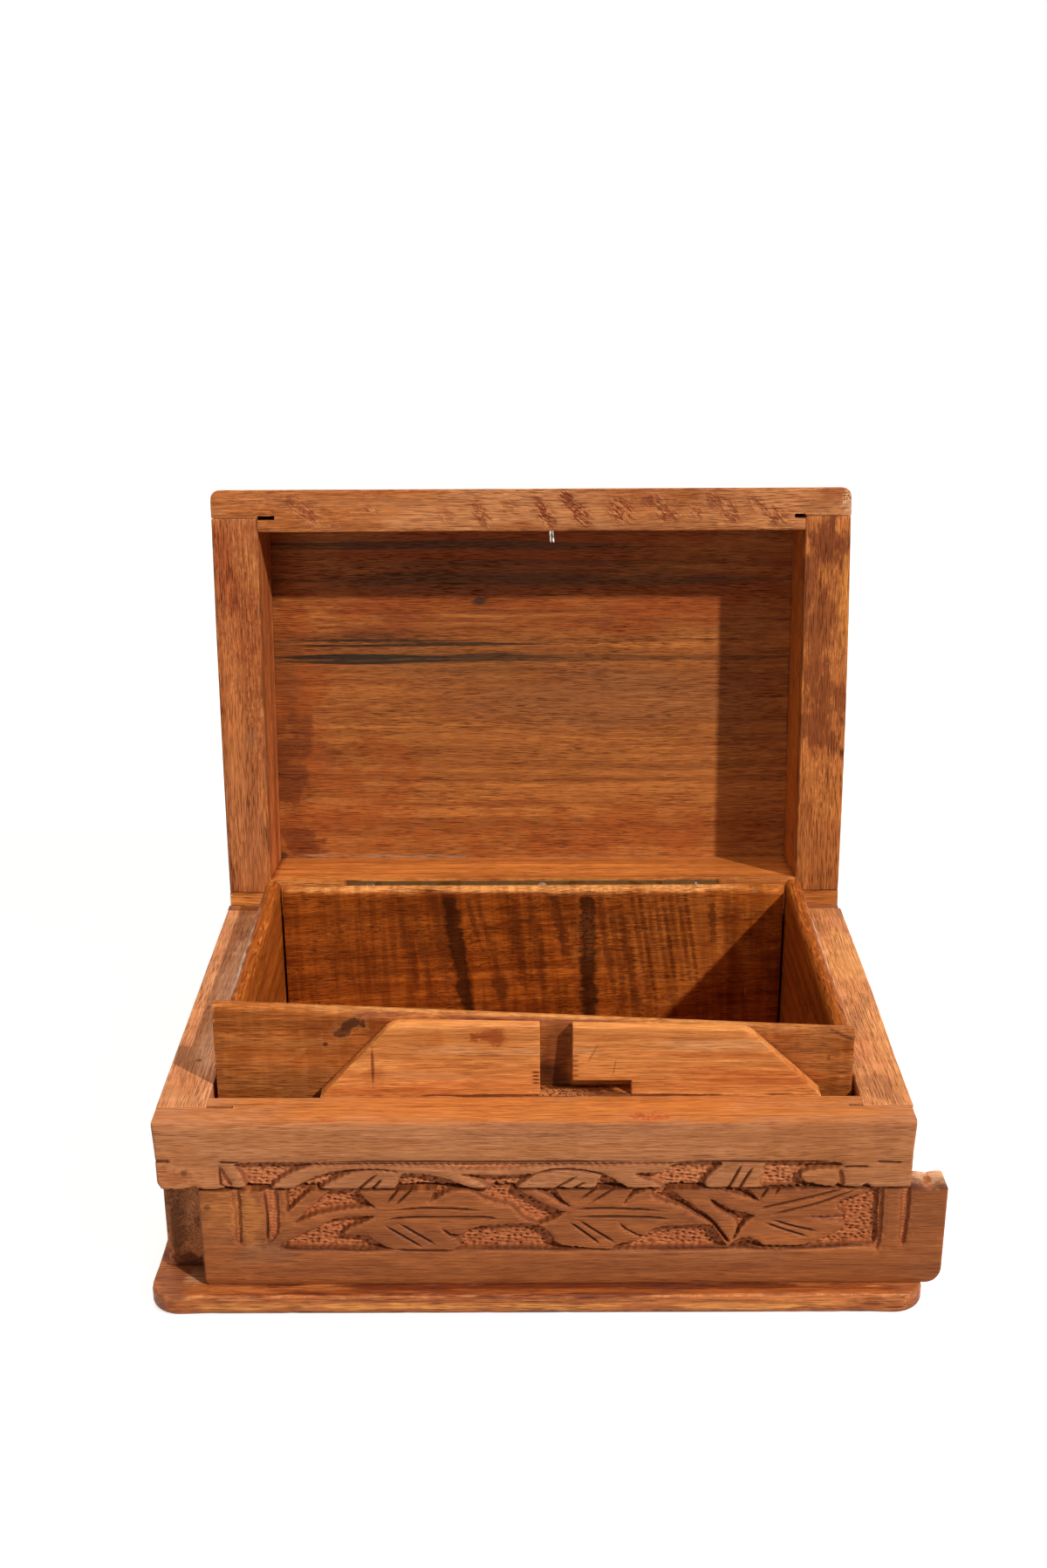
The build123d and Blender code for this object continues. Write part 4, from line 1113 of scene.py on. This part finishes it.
# Torn grain across the rim, in red-brown strokes and pale ones that are partly painted highlight, all
# slanting, and scuffed corners.
torn = [
    (-91, -80.5, 14, 4.4, 0.9, 36), (-64.5, -81, 4, 3, 0.9), (-34, -79, 5, 4, 0.7),
    (-20, -79, 9, 4, 0.9, 62), (-9, -82, 5, 4, 0.7, 40), (5.5, -79, 10, 4.6, 1, 56),
    (15, -84, 8, 4, 1, 50), (20, -78.4, 8, 5, 1, 52), (36, -80.5, 9, 7, 1, 40), (54, -79, 8, 6, 0.9, 30),
    (49, -84, 9, 4, 0.9), (66, -80, 5, 5, 0.8), (73, -84.6, 6, 4, 0.9, 50),
    (79.5, -79.6, 8, 4.6, 0.9, 55), (90, -82, 7, 4, 0.7, 40), (98, -78, 8, 4.4, 0.9, 30),
    (-112, -85, 16, 3, 0.5)]
lid_front_marks = [
    ("#dc9058", (24, 90, 24), 0.5, shut_rim, [(100, -81, 50, 12, 0.6)]),
    ("#e6a872", (24, 90, 24), 0.5, shut_rim, [(-10, -81, 60, 12, 0.45)]),
    ("#9a5a34", (24, 90, 24), 0.6, shut_rim, [(-60, -84, 60, 3, 0.4), (60, -79, 40, 4, 0.3)]),
    # pale strokes beside the torn grain: partly torn fibres, partly painted highlight
    ("#e6a468", (150, 640, 300), None, shut_rim, [
        (*spot[:4], 0.5 * spot[4], *spot[5:]) for spot in torn]),
    ("#84330f", (170, 700, 300), None, shut_rim, torn),
    ("#7e3a1c", (260, 260, 260), 0.5, shut_rim, [
        (15.6, -85.4, 1.4, 2.8, 0.85, -20), (47, -84.6, 2, 1.4, 0.7), (57.5, -84.4, 2, 1.6, 0.8),
        (8.6, -75.6, 1.4, 2.6, 0.7, -20), (-79, -74.6, 2.4, 1.4, 0.8), (98, -78, 1.2, 2.6, 0.6, -25)]),
    ("#7a4a2c", (60, 200, 60), 0.8, shut_rim, [
        (116, -82, 12, 4, 0.5), (-126, -81, 5, 3, 0.5), (-84, -85, 16, 2, 0.4)]),
    ("#e8b484", (500, 500, 500), None, shut_rim, [(126.5, -83, 3, 7, 0.9)]),
    ("#4a1e0e", (500, 90, 500), 0.7, shut_rim, [
        (-118, -78.1, 9, 0.45, 0.7), (118, -78.1, 9, 0.45, 0.6), (-100.6, -74, 0.5, 2.6, 0.7, 12),
        (0, -72.5, 110, 0.5, 0.5)]),
]
lid_walnut(
    lid_front, "#c97639", "#9e5624", "#8e421a", "#dd9c5d", shift=(0.45, 0.75, 0.3),
    finer=1.25, wear=0.25, blotch=0.4, fleck=0.7, relief=0.2, marks=lid_front_marks)

board = node_copy("lid_back_rail")
board.transform(shut)
slice_up(board, (4.0, 0, 4.0))
wear_down(board, 24, sag=0.1, chip=0.3)
lid_walnut(
    lid_piece("lid_back_rail", board), "#e28840", "#b56628", "#a2531c", "#f1ac68",
    shift=(0.15, 0.35, 0.8), wear=0.25, fleck=0.3)


# ------------------------ lid top
# A wide walnut board over the lid's frame. Its inner face shows plain-sawn grain with dark
# heartwood streaks and a small knot.

low, high = shut_span("lid_top")
board = plain_board(low, high)
ease_edges(board, front_uprights(board, low.y), lid_corner, 6)
ease_edges(board, sharp_edges(board, 1.0), 0.6, 3, clamp=True)
slice_up(board, (4.0, 4.0, 0))
wear_down(board, 25, sag=0.1, chip=0.6)
lid_top = lid_piece("lid_top", board)

ceiling = ("z", 106.7, 9)
# Dark heartwood streaks along the board, a knot, red and dirty margins, and painted shade along the panel's
# foot and sides where they meet the rails.
panel_marks = [
    ("#944210", (14, 60, 30), 0.6, ceiling, [(0, -56, 150, 36, 0.85)]),
    ("#94663e", (12, 50, 30), 0.5, ceiling, [(30, 2, 90, 20, 0.55), (-40, -10, 70, 12, 0.45)]),
    ("#a84c14", (50, 60, 50), 0.9, ceiling, [
        (-104, -2, 14, 60, 0.6), (-84, 46, 34, 26, 0.55), (40, 62, 90, 14, 0.5), (60, -36, 60, 6, 0.4)]),
    ("#5e2408", (60, 60, 60), 0.8, ceiling, [
        (-103, 34, 12, 22, 0.75), (-106, -14, 8, 18, 0.6), (-102, 66, 12, 10, 0.75), (-88, 30, 9, 9, 0.5)]),
    ("#5c3c20", (10, 240, 60), 0.6, ceiling, [
        (-40, -18, 110, 9, 0.45), (-60, -24, 50, 6, 0.35), (60, -16, 80, 6, 0.3), (0, -50, 140, 8, 0.3)]),
    ("#6a2e12", (50, 400, 50), 0.8, ceiling, [
        (-106, 20, 7, 60, 0.5), (-44, 37, 5, 1.4, 0.8), (20, -32, 130, 1.2, 0.7), (-30, -35.4, 90, 1, 0.6),
        (-40, -28.6, 70, 0.9, 0.6), (60, 22, 60, 1.6, 0.4), (-30, 48, 70, 1.4, 0.45), (30, 38, 80, 1, 0.4)]),
    ("#30200f", (11, 800, 60), 0.75, ceiling, [
        (-30, -16.2, 110, 2.8, 0.7), (-74, -16.2, 44, 2.8, 1), (-22, -16.6, 30, 2.4, 0.9),
        (62, -15.8, 80, 2.4, 0.65), (-52, -22.8, 66, 2.4, 0.95), (24, -23.2, 90, 1.6, 0.6),
        (-80, -24.6, 34, 2, 0.6), (-40, -63.6, 100, 2.2, 0.85), (-60, -26.6, 50, 1.2, 0.5),
        (30, -8.6, 80, 1.6, 0.35), (-30, -10.4, 80, 1.6, 0.4), (0, -49.4, 130, 3.6, 0.7),
        (20, -56, 120, 1.6, 0.5)]),
    # a knot, dark spots at the margins and lower left corner, and painted shade along the panel's foot and
    # sides
    ("#3a1c0c", (200, 200, 200), 0.4, ceiling, [
        (-23, -40.5, 4, 3, 0.95), (-109, -44, 4, 14, 0.5), (-110, 71, 4, 4, 0.9), (0, 73.4, 130, 1.3, 0.9),
        (-110.6, 0, 1.2, 90, 0.7), (110.6, 0, 1.2, 90, 0.7)]),
    ("#a88668", (40, 400, 60), 0.5, ceiling, [(-60, 71.6, 50, 0.9, 0.8, 0.6), (44, 72.2, 60, 0.8, 0.6)]),
]
lid_walnut(
    lid_top, "#c27333", "#9a5622", "#853d12", "#d48d4a", shift=(0.25, 0.05, 0.5),
    finer=1.3, wear=0.25, blotch=0.25, fleck=0.25, marks=panel_marks)


# ------------------------ hinge
# A pressed brass strip hinge with a rolled barrel, let into both rims and held by
# countersunk steel screws. The brass has gone brown under the varnish.

brass = dull_metal(
    "aged_brass_strip", "#a67c42", "#6e4a26", 1000 / 180, detail=5.0, fine=0.65, patches=(0.38, 0.6),
    rough=(0.34, 0.6), metallic=(0.9, 0.3), rolled=True)
for name in ("hinge_leaf_case", "hinge_leaf_lid", "hinge_pin"):
    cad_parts[name].data.materials[0] = brass
screw_steel = dull_metal("zinc_plated_screws", "#e2dacb", "#c2ae92", 1.1)
for name in ("case_hinge_screws", "lid_hinge_screws"):
    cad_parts[name].data.materials[0] = screw_steel


# ------------------------ staple
# A bent steel wire driven through the lid's front rail, whose two legs stand out into the
# lid. They pass down the lock board's upright slot and the panel then slides over them.

wire_radius = 0.41


def draw_wire(bm, stations):
    """Draws a wire along its stations, each a centre and a radius in millimetres."""
    centre, radius = stations[0]
    ring = bmesh.ops.create_circle(
        bm, cap_ends=True, segments=12, radius=radius, matrix=Matrix.Translation(centre))["verts"]
    tip = ring[0].link_faces[0]
    for spot, thickness in stations[1:]:
        drawn = bmesh.ops.extrude_face_region(bm, geom=[tip])["geom"]
        tip = next(part for part in drawn if isinstance(part, bmesh.types.BMFace))
        for v in tip.verts:
            v.co = Vector(spot) + (v.co - Vector(centre)) * (thickness / radius)
        centre, radius = spot, thickness


low, high = span("lock_staple")
staple = bmesh.new()
# each leg's place along X, and how far it has wandered sideways on its way down
for leg_x, drift in ((7.62, (0.0, 0.06, -0.02, 0.1)), (8.72, (0.0, -0.14, 0.0, 0.16))):
    stations = []
    for down, push in zip((0.02, 0.5, 0.76, 0.93), drift):
        centre = (leg_x + push, high.y - 0.45 - down * 1.6, high.z - down * (high.z - low.z))
        stations.append((centre, wire_radius))
    # a blunt tip
    end_x, end_y, _ = centre
    stations.append(((end_x + 2 * drift[-1] / 3, end_y - 0.1, low.z + 0.25), 0.34))
    stations.append(((end_x + drift[-1] / 2, end_y - 0.1, low.z + 0.05), 0.12))
    draw_wire(staple, stations)
bmesh.ops.recalc_face_normals(staple, faces=staple.faces)
lock_staple = set_in_place("wire_staple", staple, "lid", "lock_staple")
lock_staple.data.materials.append(dull_metal("tinned_wire_staple", "#e6e0d8", "#b3a492", 0.9))


# ------------------------ floor and light
# A white floor under the box, one small hard key from the front right, a wide lamp
# overhead and a weak one low in front. The camera sees the floor and the sky as white.

def seen_directly(tree):
    """Whether a ray comes from the camera, a reflection or through glass."""
    ray = node(tree, "LightPath").outputs
    seen = node(tree, "Math", (ray["Is Camera Ray"], ray["Is Glossy Ray"]), "MAXIMUM")
    return node(tree, "Math", (seen, ray["Is Transmission Ray"]), "MAXIMUM")


floor = bmesh.new()
bmesh.ops.create_grid(floor, x_segments=8, y_segments=8, size=2.5)
mesh = bpy.data.meshes.new("white_floor")
floor.to_mesh(mesh)
floor.free()
white_floor = bpy.data.objects.new("white_floor", mesh)
bpy.context.scene.collection.objects.link(white_floor)
paper = bpy.data.materials.new("white_paper_sweep")
tree = empty_tree(paper)
tooth = node(tree, "TexNoise", {
    "Vector": node(tree, "TexCoord").outputs["Object"], "Scale": 400.0, "Detail": 2.0})
direct = seen_directly(tree)
tooth = node(tree, "MapRange", (tooth, 0.0, 1.0, 0.0, 0.02))
tooth = node(tree, "Math", (tooth, node(tree, "MapRange", (direct, 0.0, 1.0, 0.21, 0.49))), "ADD")
sheet = node(tree, "BsdfDiffuse", {"Color": tooth})
glow = node(tree, "Math", (direct, 0.78), "MULTIPLY")
glow = node(tree, "Emission", {"Color": (1, 1, 1, 1), "Strength": glow})
node(tree, "OutputMaterial", {"Surface": node(tree, "AddShader", (sheet, glow))})
mesh.materials.append(paper)

world = bpy.data.worlds.new("white_studio")
bpy.context.scene.world = world
tree = empty_tree(world)
glow = node(tree, "MapRange", (seen_directly(tree), 0.0, 1.0, 0.12, 1.0))
sky = node(tree, "Background", {"Color": (1, 1, 1, 1), "Strength": glow})
node(tree, "OutputWorld", {"Surface": sky})


def lamp(name, spot, size, watts, colour=(1, 1, 1)):
    """A square area lamp at a spot, turned to the middle of the box."""
    data = bpy.data.lights.new(name, "AREA")
    data.size = size
    data.energy = watts
    data.color = colour
    made = bpy.data.objects.new(name, data)
    made.location = spot
    made.rotation_euler = (middle_of_box - Vector(spot)).to_track_quat("-Z", "Y").to_euler()
    bpy.context.scene.collection.objects.link(made)


middle_of_box = Vector((0, 0, 0.09))
key_way = Vector((0.587, -0.54, 0.683)).normalized()
lamp("key_lamp", middle_of_box + key_way * 7.0, 0.22, 470)
lamp("overhead_lamp", (-0.15, 0.03, 1.95), 1.0, 16, (1.0, 0.93, 0.78))
lamp("front_fill", (-0.7, -1.9, 0.4), 1.0, 6.4)


# ------------------------ camera
# In front of the box and a little above it, looking down at 21 degrees.

camera_spot = Vector((-0.00104, -0.60085, 0.38794))
yaw, pitch, roll = (math.radians(a) for a in (-0.22, 21.02, -0.32))
ahead = Vector((math.sin(yaw) * math.cos(pitch), math.cos(yaw) * math.cos(pitch), -math.sin(pitch)))
level_right = Vector((math.cos(yaw), -math.sin(yaw), 0))
level_up = level_right.cross(ahead)
right = level_right * math.cos(roll) + level_up * math.sin(roll)
up = level_up * math.cos(roll) - level_right * math.sin(roll)
camera_data = bpy.data.cameras.new("camera")
camera_data.lens = 41.25
camera_data.sensor_width = 36.0
camera_data.sensor_fit = "AUTO"
camera = bpy.data.objects.new("camera", camera_data)
camera.matrix_world = Matrix.Translation(camera_spot) @ Matrix((right, up, -ahead)).transposed().to_4x4()
bpy.context.scene.collection.objects.link(camera)
bpy.context.scene.camera = camera
bpy.context.scene.view_settings.view_transform = "Standard"
